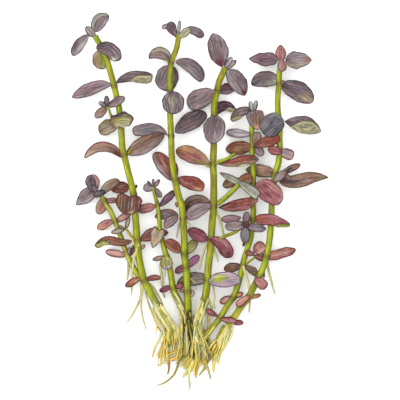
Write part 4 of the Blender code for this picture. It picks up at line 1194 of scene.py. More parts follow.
# Leaves that each stand for a solid of their own.
BIG_LEAVES = (
    Leaf("leaf_a01", (-51.8, 83.8, 7.4), (-45.3, 91.4, 8.6), 3.9, 3.5,
        coat("MAUVE MAUVE MAUVE SAGE PALE_MAUVE"), widest=0.48, full=0.95, bow=2.2),
    Leaf("leaf_a03", (-55.7, 82.6, 6.4), (-63.8, 72, 0.6), 2.4, 3.1,
        coat("PALE_MAUVE PALE_MAUVE MAUVE MIST PLUM", (0.62, -0.5, 0.22, 0.35, "DARK_PLUM")), widest=0.56,
        bow=-0.4),
    Leaf("leaf_a04", (-51.9, 75.6, 9.4), (-41.2, 69.2, 9), 3.6, 3.8,
        coat("DARK_PLUM PLUM MAUVE PLUM MAUVE", (0.1, 0.5, 0.2, 0.6, "PLUM_BLACK"),
            (0.93, -0.6, 0.13, 0.4, "PALE_GREEN")), widest=0.56, full=0.72, bow=3),
    Leaf("leaf_a06", (-44.2, 57.5, 6.6), (-64.2, 51.2, 0.5), 2, 4.6,
        coat("PALE_MAUVE DUSTY_ROSE DUSTY_ROSE PALE_MAUVE", (0.45, 0, 0.3, 0.2, "PLUM")), widest=0.52,
        full=1.3, twist=-0.3),
    Leaf("leaf_a07", (-41.8, 58.3, 6.6), (-24, 60.5, 0.6), 3.1, 3,
        coat("DARK_PLUM PLUM PLUM", under=Hue.PALE_OLIVE), widest=0.7, full=0.8, bow=2.2, twist=0.3,
        flaps=(Flap(Side.RIGHT, 4.0, 0.3, 1.0),)),
    Leaf("leaf_a08", (-44.5, 37.5, 9.5), (-33.5, 39.5, 9.3), 3.2, 4.6,
        coat("OLIVE MOSS PALE_MOSS COCOA PALE_OLIVE", (0.5, 0.78, 0.5, 0.55, "PLUM_BLACK"),
            (0.97, 0, 0.1, 0.8, "UMBER"), (0.03, -0.3, 0.1, 0.8, "UMBER")), widest=0.5, full=0.6, bow=2,
        ruffle=0.13),
    Leaf("leaf_a09", (-41.6, 38, 5.6), (-50.5, 33.5, 0.8), 3, 4.4,
        coat("UMBER KHAKI COCOA KHAKI OLIVE"), widest=0.5, full=0.8),
    Leaf("leaf_a11", (-38.9, 20.9, 6.6), (-57.9, 20.8, 0.6), 2.2, 3,
        coat("DARK_COCOA COCOA BEIGE COCOA ROSE_BROWN", (0.9, 0.2, 0.14, 0.6, "BEIGE"),
            (0.1, 0, 0.15, 0.8, "MAROON"), under=Hue.BEIGE), widest=0.5, full=1.1, bow=-5.4),
    Leaf("leaf_a12", (-36.8, 22.9, 6), (-17.8, 34, 2.6), 3.9, 4.8,
        coat("COCOA COCOA COCOA TAN MAUVE", (0.05, 0.2, 0.14, 0.9, "RED_BROWN")), widest=0.5),
    Leaf("leaf_a13", (-35.5, 6, 3.6), (-45, 6.8, 0.6), 3.4, 2.9,
        coat("MAROON RED_BROWN ROSE_BROWN RED_BROWN MAROON", (0.5, 0, 0.15, 0.25, "TAN")), widest=0.5,
        full=0.8, arch=0),
    Leaf("leaf_a14", (-35.2, 1.8, 9.5), (-36.6, -7.5, 9.3), 6.6, 6.6,
        coat("MAROON UMBER MAROON MAROON UMBER", (0.85, 0.5, 0.14, 0.3, "KHAKI"),
            (0.4, 0, 0.2, 0.3, "DARK_COCOA")), widest=0.32, full=0.74, arch=0.3, lobe=0.9),
    Leaf("leaf_a15", (-34, -20.6, 8.4), (-52.2, -23.8, 4.5), 2.3, 2.2,
        coat("BROWN BROWN OLIVE BROWN BROWN", under=Hue.MOSS), widest=0.6, full=0.8, bow=-1.6, arch=0.8,
        twist=1.2, flaps=(Flap(Side.LEFT, 2.4, 0.5, 1.0),)),
    Leaf("leaf_a16", (-30.2, -20.5, 4.2), (-15.8, -16.5, 1.4), 4.6, 1.8,
        coat("BRICK ROSE_RED BRICK ROSE_BROWN BRICK"), widest=0.5, full=1.4, arch=0),
    Leaf("leaf_c03", (-9, 84.4, 7.4), (1.4, 81.2, 3.4), 2.3, 2.3,
        coat("PALE_OLIVE MAUVE PLUM"), widest=0.66, full=1, bow=1.9),
    Leaf("leaf_c04", (-15.2, 69.6, 6.4), (-25.6, 70.4, 0.6), 1.9, 4.4,
        coat("DARK_PLUM MAUVE PALE_MAUVE PALE_MAUVE KHAKI", (0.45, 0, 0.3, 0.25, "COCOA"),
            (0.9, -0.5, 0.12, 0.5, "PLUM")), widest=0.42, full=1.25, bow=-2.2, skew=-0.06),
    Leaf("leaf_c05", (-12.4, 68.8, 6.6), (0.5, 59, 0.5), 4.4, 2.6,
        coat("PLUM MAUVE MAUVE PLUM PALE_MAUVE"), widest=0.56, full=1.1, bow=2.3),
    Leaf("leaf_c06", (-14, 67, 3.6), (-18, 54.5, 0.5), 5.1, 6.4,
        coat("DARK_PLUM MAUVE MAUVE DARK_PLUM MAUVE"), widest=0.52, full=0.85, arch=0),
    Leaf("leaf_c07", (-14.5, 54.2, 9.4), (-12.5, 42.8, 9.2), 5.7, 5.6,
        coat("DARK_PLUM SLATE PLUM PLUM PLUM", (0.45, 0, 0.3, 0.3, "KHAKI")), widest=0.5, full=1),
    Leaf("leaf_c08", (-12.5, 33.5, 6.6), (3.2, 43, 0.5), 5.4, 3.6,
        coat("DARK_PLUM PLUM DARK_PLUM DARK_PLUM PLUM"), widest=0.56, full=1.1),
    Leaf("leaf_c09", (-16.2, 32, 7.4), (-33.8, 33.8, 7.6), 2.9, 3.3,
        coat("COCOA SLATE MAUVE PLUM MAUVE", (0.5, 0.2, 0.3, 0.3, "SLATE")), widest=0.7, full=1.1,
        bow=-2.5, arch=1.2, twist=-0.7),
    Leaf("leaf_c10", (-14, 9.5, 4.2), (-23, 23.5, 0.8), 3.1, 4.6,
        coat("BLOOD ROSE_BROWN COCOA MAUVE BLOOD", (0.5, 0, 0.55, 0.1, "MAROON"),
            (0.5, 0.55, 0.3, 0.3, "PALE_MAUVE")), full=1.1, arch=0),
    Leaf("leaf_c12", (-11.9, 10.6, 7), (1.6, 4.7, 6.4), 4.7, 2.5,
        coat("MAROON BLOOD BRICK BLOOD RED_BROWN", (0.85, -0.3, 0.13, 0.4, "AMBER_BROWN")), widest=0.56,
        full=1.05, skew=0.1),
    Leaf("leaf_c13", (-10.8, -8.4, 7), (-22.6, -8.9, 3.2), 3.2, 2.3,
        coat("PLUM MAUVE AUBERGINE MAUVE BROWN"), widest=0.5, full=1.1, bow=-1.9, arch=0),
    Leaf("leaf_c14", (-11, -8.5, 9), (-17.8, -14.2, 8.6), 1.9, 3.4,
        coat("WINE MAUVE TAN MAUVE COCOA"), widest=0.5, full=1.1),
    Leaf("leaf_c15", (-9.5, -26.5, 6.6), (-17.5, -20.5, 8.2), 2.5, 3.4,
        coat("BROWN RED_BROWN RED_BROWN AMBER_BROWN RED_BROWN"), widest=0.55, full=1.1),
    Leaf("leaf_d01", (10.9, 66.4, 7.2), (6.3, 83.4, 2.6), 4.7, 5.5,
        coat("PLUM_BLACK PLUM MAUVE PLUM MAUVE", (0.9, -0.4, 0.15, 0.5, "DUSTY_ROSE"),
            (0.12, 0.2, 0.15, 0.7, "WINE")), widest=0.5, full=1.45, arch=1),
    Leaf("leaf_d04", (13.5, 64.8, 7.6), (22.5, 52.2, 1.6), 5.3, 3.5,
        coat("PALE_MAUVE MAUVE MAUVE PLUM PALE_MAUVE", (0.92, 0.2, 0.12, 0.5, "WINE")), widest=0.48,
        full=1.25, arch=1),
    Leaf("leaf_d06", (8, 53.6, 8.4), (-6.2, 47, 0.8), 4.5, 5.6,
        coat("COCOA MAUVE MAUVE MAUVE DUSTY_ROSE", (0.8, 0.5, 0.2, 0.3, "PALE_MAUVE")), full=1),
    Leaf("leaf_d07", (6.4, 41.8, 3.8), (18.3, 43.6, 0.5), 2.5, 2.8,
        coat("GRAPE GRAPE GRAPE GRAPE", under=Hue.PALE_OLIVE), widest=0.42, full=0.95, bow=4.5, arch=0,
        flaps=(Flap(Side.RIGHT, 2.2, 0.55, 1.0),)),
    Leaf("leaf_d08", (8, 42, 9.6), (6, 27.8, 9.4), 5.6, 5.5,
        coat("DARK_PLUM PLUM MAUVE MAUVE PLUM", (0.75, 0.5, 0.2, 0.35, "PALE_MAUVE")), widest=0.46,
        full=1.05),
    Leaf("leaf_d09", (5.2, 17.4, 6.6), (-12.2, 24.6, 3.4), 3.9, 4.4,
        coat("KHAKI ROSE_BROWN BRICK ROSE_RED AMBER_BROWN", (0.45, -0.1, 0.2, 0.3, "CERISE"),
            (0.7, -0.5, 0.2, 0.4, "AMBER_BROWN"), (0.35, 0.5, 0.15, 0.3, "OLIVE"),
            (0.98, 0, 0.12, 0.8, "RUST")), widest=0.6, full=1.4, bow=-0.8),
    Leaf("leaf_d10", (8.3, 17.9, 7.4), (29.4, 20.3, 8.2), 2.6, 2.9,
        coat("MAROON RED_BROWN BROWN BLOOD KHAKI", (0.05, 0, 0.12, 0.9, "WINE"),
            (0.95, 0, 0.1, 0.8, "BARK"), under=Hue.PALE_OLIVE), widest=0.64, full=1.6, arch=0.8,
        twist=-0.4, flaps=(Flap(Side.RIGHT, 1.2, 0.25, 0.95),)),
    Leaf("leaf_d12", (5, -1.5, 6.2), (-8, -6.5, 2), 2.6, 2.8,
        coat("COCOA DARK_COCOA BARK DARK_COCOA COCOA"), widest=0.6, full=0.8, bow=-4, arch=0),
    Leaf("leaf_d13", (5.6, -2.8, 8.4), (-6.5, -9.6, 7.4), 2.4, 4.8,
        coat("DUSTY_ROSE MAUVE DUSTY_ROSE DUSTY_ROSE MAUVE"), full=1),
    Leaf("leaf_d14", (9, -3.9, 5), (29.2, 0.5, 8.8), 2, 4.3,
        coat("MAROON BLOOD RED_BROWN BLOOD ROSE_BROWN", (0.9, 0, 0.12, 0.7, "ROSE_BROWN")), widest=0.56,
        full=1.5, arch=0),
    Leaf("leaf_d15", (4, -20.5, 7.4), (-6.2, -15, 5.6), 3, 3.4,
        coat("WINE WINE WINE CERISE WINE", (0.5, 0.1, 0.4, 0.2, "CERISE")), widest=0.52, full=1.15),
    Leaf("leaf_d16", (4.2, -19.8, 9.6), (14.2, -29.2, 4.6), 3.5, 3.7,
        coat("WINE CERISE WINE CERISE WINE", (0.5, 0.3, 0.2, 0.3, "ROSE"), (0.8, 0, 0.3, 0.1, "MAROON")),
        widest=0.66, full=0.95, bow=2.9, arch=0.3),
    Leaf("leaf_d18", (4.2, -40.9, 9), (20.3, -40.2, 8.2), 4.7, 3.3,
        coat("KHAKI LAVENDER LAVENDER LAVENDER LAVENDER", (0.36, 0.35, 0.24, 0.42, "LEAF_GREEN"),
            (0.3, 0.1, 0.12, 0.3, "STEM_BRIGHT"), (0.62, 0.3, 0.12, 0.2, "PALE_MOSS"),
            (0.95, 0, 0.1, 0.6, "KHAKI")), widest=0.52, full=1),
    Leaf("leaf_f04", (27, 44.6, 8.6), (28.6, 34.8, 8.4), 4.6, 4.4,
        coat("PLUM COCOA ORANGE COCOA MAUVE", (0.95, 0, 0.14, 0.8, "ORANGE"),
            (0.15, 0.3, 0.15, 0.5, "DARK_PLUM")), widest=0.3, full=1.05),
    Leaf("leaf_h04", (26, 26.4, 5.8), (12.8, 25.2, 0.8), 3.4, 3.6,
        coat("RUST BROWN BRICK BROWN RED_BROWN", (0.6, 0.2, 0.2, 0.3, "AMBER_BROWN")), widest=0.5,
        full=1.1),
    Leaf("leaf_e03", (38.8, 70, 6.8), (24.2, 70.6, 0.6), 3.5, 3.6,
        coat("PLUM AUBERGINE PALE_MAUVE PLUM AUBERGINE"), widest=0.36, full=1.35, arch=0.8, ruffle=0.07),
    Leaf("leaf_e04", (42.6, 69.5, 6.8), (56, 70, 0.6), 4.5, 4.2,
        coat("DARK_PLUM PALE_MAUVE BRICK MAUVE KHAKI"), widest=0.4, full=1.35, arch=0.8, ruffle=0.06),
    Leaf("leaf_e05", (39, 58.4, 6.6), (25.8, 57.4, 0.6), 3.8, 4.4,
        coat("SAGE PLUM DARK_PLUM MAUVE PLUM", (0.3, 0.4, 0.2, 0.3, "SAGE")), widest=0.46, full=1.1,
        bow=-2.2),
    Leaf("leaf_e06", (40.2, 57.2, 6.6), (56.4, 48.8, 0.5), 5.6, 4.3,
        coat("PLUM_BLACK PLUM KHAKI DARK_PLUM PLUM", (0.75, -0.2, 0.2, 0.3, "KHAKI")), widest=0.52,
        full=1.15, bow=0.9),
    Leaf("leaf_e07", (40.4, 41.6, 10.8), (31.5, 33, 10.4), 5.4, 5.6,
        coat("SLATE CHARCOAL CHARCOAL CHARCOAL SLATE", (0.3, 0.3, 0.2, 0.2, "SLATE"),
            (0.7, -0.3, 0.2, 0.2, "SLATE")), widest=0.5, full=0.65),
    Leaf("leaf_e08", (42.1, 39.2, 6.6), (60.6, 34.2, 0.5), 5.4, 3.6,
        coat("DARK_PLUM PLUM PLUM PLUM", under=Hue.PALE_OLIVE), widest=0.54, full=1.8,
        flaps=(Flap(Side.RIGHT, 6.8, 0.08, 1.0),)),
    Leaf("leaf_e10", (39.5, 9, 6.8), (64.4, 11.1, 0.5), 3.6, 3.4,
        coat("DARK_COCOA COCOA BROWN COCOA COCOA", (0.35, 0, 0.3, 0.25, "DARK_PLUM"),
            (0.9, -0.3, 0.1, 0.4, "OLIVE")), widest=0.42, full=1.45, arch=1, twist=-0.7),
    Leaf("leaf_e11", (27.9, 8, 7.6), (40.5, -1.5, 9.4), 6.2, 4.6,
        coat("ROSE_RED ROSE_RED ROSE ROSE CERISE", (0.3, 0.3, 0.15, 0.25, "WINE"),
            (0.5, -0.2, 0.2, 0.25, "WINE"), (0.8, 0.4, 0.15, 0.3, "CERISE")), widest=0.48, full=0.85,
        arch=1.2),
    Leaf("leaf_e12", (27.8, -10.8, 6.8), (45, -12.9, 8.4), 3.2, 2.7,
        coat("BLOOD ROSE_RED CERISE CERISE ROSE_RED", (0.1, 0.3, 0.15, 0.6, "BRICK"), under=Hue.MOSS),
        widest=0.32, full=0.68, bow=1.3, arch=2, twist=0.3, flaps=(Flap(Side.RIGHT, 1.5, 0.45, 1.0),)),
)

# Leaves and buds that are one piece with the others of their stem.
SMALL_LEAVES: dict[str, tuple[Leaf, ...]] = {
    "shoot_pale": (
        Leaf("leaf_g01", (20.6, 7.8, 8), (9.6, 13.6, 6.6), 1.7, 1.9,
            coat("SAGE SAGE SAGE PALE_GREEN", (0.93, 0, 0.12, 0.8, "BRICK")), widest=0.4),
        Leaf("leaf_g02", (18.8, 9.2, 8), (29.2, 1.4, 9.8), 3, 2.2,
            coat("SAGE SAGE SAGE SAGE PALE_GREEN"), widest=0.74, full=0.85, arch=1.4),
        Leaf("leaf_g03", (18.4, 6.6, 7.4), (26.2, 11.6, 8), 3.6, 2.4,
            coat("MOSS BROWN RED_BROWN BROWN OLIVE", (0.25, 0, 0.18, 0.4, "LEAF_GREEN")), widest=0.63,
            full=0.9),
        Leaf("leaf_g04", (19.8, 10.6, 7.2), (11.4, 6.6, 5), 2.3, 2.6,
            coat("OLIVE BROWN OLIVE BROWN UMBER")),
    ),
    "shoot_rosette": (
        Leaf("leaf_o01", (22.6, -13.4, 9.8), (23.5, -6, 10.6), 2, 2, coat("PLUM_BLACK PLUM MAUVE")),
        Leaf("leaf_o02", (23.2, -12.4, 9.8), (12.5, -13.5, 10.4), 2.7, 2.7,
            coat("PLUM_BLACK MAUVE PLUM PALE_MAUVE"), full=1.08, arch=1),
        Leaf("leaf_o03", (21.8, -12.6, 9.9), (33, -14.4, 11.4), 1.6, 2.6, coat("PLUM_BLACK MAUVE PLUM")),
        Leaf("leaf_o04", (22.6, -12, 9.8), (22.5, -21.8, 9.4), 2.5, 2.5, coat("PLUM_BLACK SLATE PLUM")),
        Leaf("leaf_o05", (20.8, -9, 8), (10.5, -10, 7.6), 2.1, 2.1,
            coat("CERISE DUSTY_ROSE MAGENTA ROSE DUSTY_ROSE")),
        Leaf("leaf_o06", (21.2, -13.4, 10.6), (24.6, -11.6, 10.9), 1.5, 1.5,
            coat("PLUM_BLACK MAROON PLUM_BLACK")),
    ),
    "stem_1": (
        Leaf("bud_a02", (-52.6, 81.4, 7.4), (-57.2, 86.6, 8.4), 2, 2,
            coat("SAGE PALE_MAUVE SAGE SLATE MIST", (0.5, 0, 0.5, 0.12, "PLUM")), widest=0.5, full=1),
        Leaf("leaf_a05", (-48.6, 75, 6.2), (-49, 65.2, 3), 2.4, 5.2,
            coat("OLIVE MOSS PALE_MOSS LEAF_GREEN BEIGE", (0.7, -0.8, 0.3, 0.2, "ROSE_BROWN")),
            widest=0.5, full=0.8),
        Leaf("leaf_b01", (-46.5, 46, 8.4), (-46.8, 52, 10), 1.4, 1.4, coat("PLUM_BLACK PLUM MAUVE")),
        Leaf("leaf_b02", (-46.2, 46, 8.4), (-50.8, 49, 9.6), 1.3, 1.3, coat("PLUM_BLACK SLATE PEARL")),
        Leaf("leaf_b03", (-46.8, 46.2, 8.6), (-37.5, 51.2, 9.6), 2.2, 2.2,
            coat("PLUM_BLACK PLUM PALE_MAUVE - KHAKI")),
        Leaf("leaf_b04", (-46.2, 46.6, 8.5), (-52.5, 41, 8), 2.3, 2.3, coat("MAUVE COCOA MAUVE")),
        Leaf("leaf_m01", (-37.2, -15, 8.2), (-35.5, -8.6, 7.6), 1.2, 1.2, coat("OLIVE KHAKI KHAKI")),
        Leaf("leaf_m03", (-37, -14.6, 8.3), (-44.5, -16.5, 8), 1.4, 1.4, coat("COCOA KHAKI KHAKI")),
        Leaf("leaf_a17", (-29.4, -38.6, 6.8), (-37.5, -43.5, 2.4), 1.8, 1.9,
            coat("BLOOD BRICK MAROON RED_BROWN", (0.3, 0.3, 0.2, 0.4, "TAN"))),
        Leaf("leaf_a18", (-28.2, -40.5, 6.8), (-19.4, -39.2, 2.6), 1.7, 1.4,
            coat("BLOOD ROSE_RED BRICK ROSE"), bow=0.6),
        Leaf("leaf_a19", (-34, 4, 6.6), (-31.5, 7.5, 7.6), 0.8, 0.8, coat("MAROON MAROON RED_BROWN")),
        Leaf("leaf_a20", (-30, -25, 6.6), (-27.5, -22.5, 6), 1, 1, coat("ROSE PINK PINK")),
        Leaf("leaf_m02", (-37.2, -15, 8.2), (-40.5, -13, 8.2), 0.9, 0.9, coat("COCOA KHAKI KHAKI")),
        Leaf("leaf_m04", (-36, -28, 6.4), (-35.3, -23.5, 6.4), 0.7, 0.7, coat("MAUVE MIST MIST")),
        Leaf("leaf_m05", (-34.5, -28, 6.6), (-32.8, -23, 6.6), 1, 1, coat("BROWN RED_BROWN BROWN")),
    ),
    "stem_2": (
        Leaf("leaf_c01", (-11.4, 80.8, 7), (-16.4, 88.4, 3), 2.3, 3,
            coat("OLIVE DARK_PLUM PLUM AUBERGINE"), widest=0.76, full=1.1),
        Leaf("bud_c02", (-10.7, 82.2, 7.6), (-10.2, 89.6, 8.6), 1, 0.9,
            coat("SAGE MIST SAGE"), widest=0.63, full=1.08),
        Leaf("leaf_c17", (-7.6, -27.4, 7), (-1.9, -20, 3.4), 2.3, 2.5,
            coat("OLIVE MOSS OLIVE MOSS PALE_MOSS"), full=0.9),
        Leaf("leaf_c18", (-6.6, -32.4, 7), (-12.6, -36.6, 3.2), 1.9, 1.9, coat("MAROON CERISE ROSE_BROWN")),
        Leaf("leaf_c19", (-7.2, -34.2, 7), (-0.5, -27.8, 3.4), 2, 2, coat("WINE MAGENTA MAGENTA")),
        Leaf("leaf_c21", (-6.4, -45.6, 6.4), (-3, -47.6, 6.8), 1.9, 1.9,
            coat("ROSE PINK MIST MIST"), full=0.8),
        Leaf("leaf_c11", (-11.8, 10.5, 6.6), (-12.3, 18.5, 5.6), 0.6, 1.2,
            coat("MAROON RED_BROWN ROSE_BROWN")),
        Leaf("leaf_c16", (-10.8, 80.6, 7.8), (-4.8, 85.8, 8.4), 2.1, 2, coat("PALE_GREEN PALE_OLIVE SAGE")),
        Leaf("leaf_c22", (-16.4, 88, 3.6), (-19, 85.4, 3.4), 1.3, 1.3, coat("PALE_MAUVE PALE_MAUVE MIST")),
        Leaf("leaf_c23", (-11.5, -4, 6), (-12, -1.2, 5.6), 0.8, 0.8, coat("ROSE ORANGE PALE_OLIVE")),
        Leaf("leaf_c24", (-6.8, -45.6, 6.2), (-10.6, -45.4, 6), 1, 1, coat("ROSE ORANGE ROSE")),
    ),
    "stem_3": (
        Leaf("leaf_d02", (12, 65, 7.2), (16, 71.2, 8.4), 1.5, 1.3, coat("MAUVE PALE_MAUVE MIST SLATE")),
        Leaf("leaf_d03", (11.8, 64.6, 6.8), (18, 69.8, 7.4), 1.3, 1.6,
            coat("SLATE PEARL PLUM_BLACK MIST SLATE")),
        Leaf("leaf_d05", (8.4, 54, 6), (17.4, 56, 2.2), 3.2, 2.5,
            coat("GRAPE AUBERGINE GRAPE AUBERGINE DUSTY_ROSE")),
        Leaf("leaf_d17", (3.6, -39.8, 6), (-11.6, -42, 2.8), 2.4, 4.6,
            coat("MOSS MAUVE OLIVE MAUVE PLUM", (0.85, 0, 0.22, 0.9, "MOSS")), widest=0.42, full=1),
    ),
    "stem_4": (
        Leaf("leaf_n01", (-22.6, 5.6, 6.2), (-28.5, 6.2, 5.6), 2.1, 2.3,
            coat("KHAKI MAUVE LAVENDER"), widest=0.63, full=1.08),
        Leaf("leaf_n04", (-23.2, 5.8, 6.4), (-20.3, 10.2, 7.4), 1.1, 1.1,
            coat("AUBERGINE DUSTY_ROSE AUBERGINE")),
        Leaf("leaf_n03", (-21.6, -3, 6), (-31.4, -5.2, 3.4), 2.5, 2.4, coat("ROSE_BROWN ROSE ROSE_BROWN")),
        Leaf("leaf_n05", (-20.6, -3.6, 6), (-12.4, 4.6, 4.6), 1.9, 2, coat("GRAPE AUBERGINE PLUM_BLACK")),
        Leaf("leaf_n06", (-20.8, -15.2, 7), (-23.8, -24.2, 7.2), 3.5, 3.3,
            coat("KHAKI BEIGE KHAKI KHAKI BEIGE"), widest=0.22, full=1, arch=2.2, lobe=1.7),
        Leaf("leaf_n08", (-17.2, -28.2, 8.6), (-16.3, -34.9, 9.6), 3.2, 3.2,
            coat("LEAF_GREEN MOSS MIST PALE_MOSS MOSS", (0.95, 0, 0.16, 0.9, "LAVENDER")), widest=0.5,
            full=0.8, ruffle=0.06),
        Leaf("leaf_n09", (-13.6, -43, 5.6), (-20.4, -45.8, 2.4), 1.6, 1.5, coat("WINE CERISE WINE CERISE")),
        Leaf("leaf_n02", (-24, 6.6, 6.6), (-26.5, 9.4, 7.4), 0.8, 0.8,
            coat("AUBERGINE DUSTY_ROSE AUBERGINE")),
        Leaf("leaf_n07", (-23.4, 6.8, 6.6), (-23.5, 10.6, 7.4), 0.8, 0.8, coat("MAUVE LAVENDER ROSE")),
        Leaf("leaf_n10", (-22.5, 6, 6.6), (-19.5, 1, 5.6), 1.5, 1.5, coat("PLUM MAUVE DUSTY_ROSE")),
        Leaf("leaf_n11", (-16.6, -28.2, 6.6), (-23.8, -30, 4), 1.3, 1.2, coat("OLIVE TAN KHAKI")),
        Leaf("leaf_n12", (-12.8, -44, 6), (-7.9, -42.2, 5), 1.6, 1.6, coat("WINE CERISE WINE CERISE")),
    ),
    "stem_5": (
        Leaf("leaf_f01", (26.2, 43.4, 7.2), (25, 49.4, 7.6), 1.3, 1.2,
            coat("SLATE SAGE PEARL SLATE PEARL")),
        Leaf("leaf_f02", (26.9, 43.4, 7.2), (28.2, 49.8, 7), 1.3, 1.2,
            coat("SLATE SAGE PEARL PEARL SLATE")),
        Leaf("leaf_f03", (25.4, 45, 6.2), (15.8, 39.2, 4.2), 2.4, 2.7,
            coat("DARK_PLUM PLUM PLUM PLUM", under=Hue.PALE_MOSS), widest=0.5, full=0.95, bow=-1.4,
            flaps=(Flap(Side.LEFT, 2.2, 0.35, 1.0),)),
        Leaf("leaf_f05", (26.6, 32.4, 6), (13, 33.8, 1.2), 2.3, 2.3,
            coat("MAUVE MIST LAVENDER LAVENDER"), widest=0.62, full=1.3),
        Leaf("leaf_h01", (27, 26.6, 7.6), (29.2, 34, 7.4), 2.3, 2.4, coat("UMBER COCOA PALE_MAUVE KHAKI")),
        Leaf("leaf_h02", (27.2, 28, 6), (31.2, 21.8, 5.6), 2.3, 2.3,
            coat("WINE DUSTY_ROSE PALE_MAUVE ROSE_BROWN")),
        Leaf("leaf_h03", (25.6, 26.2, 6.6), (40, 31, 9.2), 3, 2.8,
            coat("MAROON RED_BROWN BLOOD"), widest=0.65, full=1.35, arch=1.4),
        Leaf("leaf_f06", (21.4, -33.4, 6.4), (11.8, -34.8, 5.4), 2, 2.8, coat("BARK UMBER BROWN")),
        Leaf("leaf_f07", (21.6, -33, 6.4), (28.4, -38.2, 4.2), 2.9, 1.2,
            coat("BROWN COCOA MOSS"), widest=0.63),
        Leaf("leaf_f08", (27, -26.6, 6.6), (31.8, -21.6, 6.8), 2.9, 3.1,
            coat("BROWN ROSE ROSE_BROWN ROSE_RED PINK"), full=0.9),
        Leaf("leaf_f09", (27.2, -27.6, 6.8), (22.4, -26, 7.4), 1.5, 1.5, coat("MAROON ROSE_BROWN BRICK")),
        Leaf("leaf_f11", (16.8, -48.4, 5.6), (9.8, -51.5, 4), 2, 2,
            coat("BLOOD PINK ROSE_RED BRICK ROSE_RED")),
        Leaf("leaf_f12", (16.4, -49, 5.6), (21.5, -46.5, 6.6), 1.4, 1.4,
            coat("BLOOD ORANGE ROSE_RED ROSE_RED BRICK")),
        Leaf("leaf_f13", (8.8, -58.4, 5.6), (2.7, -54.6, 6.6), 1.6, 1.5,
            coat("BLOOD ROSE_RED CERISE CERISE BLOOD")),
        Leaf("leaf_f10", (26.6, -27.8, 6.6), (32.4, -30.2, 6.2), 1.7, 1.5,
            coat("MAROON RED_BROWN BLOOD ROSE_RED")),
        Leaf("leaf_f14", (28.2, -28, 6.6), (31.8, -26.8, 6.6), 1, 1, coat("ROSE_RED PINK BRICK")),
        Leaf("leaf_f15", (22.7, -20, 5.6), (21.5, -23.5, 5.2), 0.8, 0.8, coat("MAROON BROWN BROWN")),
    ),
    "stem_6": (
        Leaf("leaf_e01", (40.4, 68.6, 7), (40.2, 77.6, 3.4), 2.7, 2.7,
            coat("ROSE_RED ROSE_BROWN ROSE_RED ROSE"), widest=0.5, full=1.45),
        Leaf("leaf_e02", (40.2, 70.4, 7.4), (41.5, 64, 9.4), 2.3, 2.3,
            coat("ROSE ROSE_BROWN COCOA - LAVENDER"), full=1.08),
        Leaf("leaf_j01", (41.5, 23.4, 8), (33.8, 25.4, 9.4), 2.3, 2.3, coat("WINE ROSE_RED ROSE_BROWN")),
        Leaf("leaf_j02", (39.4, 24.4, 8), (46.9, 21.8, 6.8), 2.8, 2.9,
            coat("CERISE PALE_MAUVE ROSE ROSE_BROWN TAN"), widest=0.63, full=0.95),
        Leaf("leaf_e09", (37.8, 12.6, 6.2), (22.8, 15, 2.2), 2.5, 4,
            coat("MAROON TAN OLIVE OLIVE TAN"), widest=0.48),
        Leaf("leaf_k01", (37.4, 11.6, 7.4), (50.2, 17.8, 6.2), 1.8, 1.8,
            coat("DARK_PLUM PLUM BROWN"), widest=0.68, full=1.89),
        Leaf("leaf_e13", (30.6, -29.4, 7.8), (48, -24.9, 0.6), 2.6, 2.7,
            coat("TAN ROSE BLOOD BRICK ROSE_RED", (0.55, 0, 0.3, 0.3, "PINK"),
                (0.92, 0, 0.12, 0.9, "BLOOD"), (0.3, -0.6, 0.3, 0.3, "ROSE_RED")), widest=0.55, full=1.1,
            ruffle=0.08),
        Leaf("leaf_e14", (27.3, -39.2, 9), (33, -44.2, 8.8), 2.9, 2.5,
            coat("ROSE_RED ROSE ROSE_RED"), widest=0.62, full=0.95),
        Leaf("leaf_e15", (25, -47.6, 9), (18.1, -53.2, 7.8), 2.1, 2.1,
            coat("BRICK ORANGE ROSE_RED BLOOD PINK", (0.5, 0, 0.2, 0.4, "ROSE")), widest=0.63, arch=1),
        Leaf("leaf_e16", (24.2, -49.2, 6.4), (30.5, -47.5, 4.6), 1.2, 1.2,
            coat("BLOOD ORANGE BRICK ROSE_RED")),
        Leaf("leaf_e17", (15.2, -61.2, 5), (21.8, -61.6, 3.2), 1.5, 1.5, coat("MAROON CERISE BLOOD")),
        Leaf("leaf_f16", (9.6, -59.4, 7), (18.4, -60.8, 6.8), 1.7, 1.6,
            coat("BLOOD ROSE_RED CERISE BLOOD ROSE")),
        Leaf("leaf_e18", (40.2, 57.6, 8.2), (41.9, 59.7, 8.8), 0.7, 0.7, coat("TAN BEIGE TAN")),
        Leaf("leaf_k02", (36.2, 8.6, 8.8), (43, 14.4, 9.2), 2, 2.1, coat("COCOA MAUVE COCOA PALE_MAUVE")),
        Leaf("leaf_k03", (45.5, 9.6, 7.6), (41, 13.6, 8.8), 1.3, 1.5, coat("MAUVE COCOA COCOA")),
        Leaf("leaf_k04", (43.4, 13.6, 7.2), (46.2, 15.6, 7.4), 1.2, 1.2, coat("UMBER DARK_COCOA COCOA")),
        Leaf("leaf_e19", (31.8, -34.6, 6.8), (31.9, -39.3, 6.4), 0.6, 0.6, coat("BROWN BROWN TAN")),
    ),
    "stem_7": (
        Leaf("leaf_l01", (-52.8, 4.4, 5.8), (-54.8, 12.6, 6.6), 3.5, 3.7,
            coat("DARK_PLUM MAUVE PLUM SLATE ROSE", (0.55, 0, 0.4, 0.62, "PLUM_BLACK"),
                (0.5, 0.05, 0.14, 0.22, "MAUVE")), widest=0.55, full=0.9),
        Leaf("leaf_l02", (-52.6, 5.4, 5.4), (-62.2, -2.8, 0.5), 3.5, 3.8,
            coat("DARK_PLUM MAUVE PALE_MAUVE PALE_MAUVE MAUVE"), widest=0.38, full=1.45),
        Leaf("leaf_l05", (-50, 1.8, 5.6), (-40.2, 9.4, 5.2), 2.9, 2,
            coat("DARK_PLUM COCOA MAROON KHAKI"), full=1.08, bow=1),
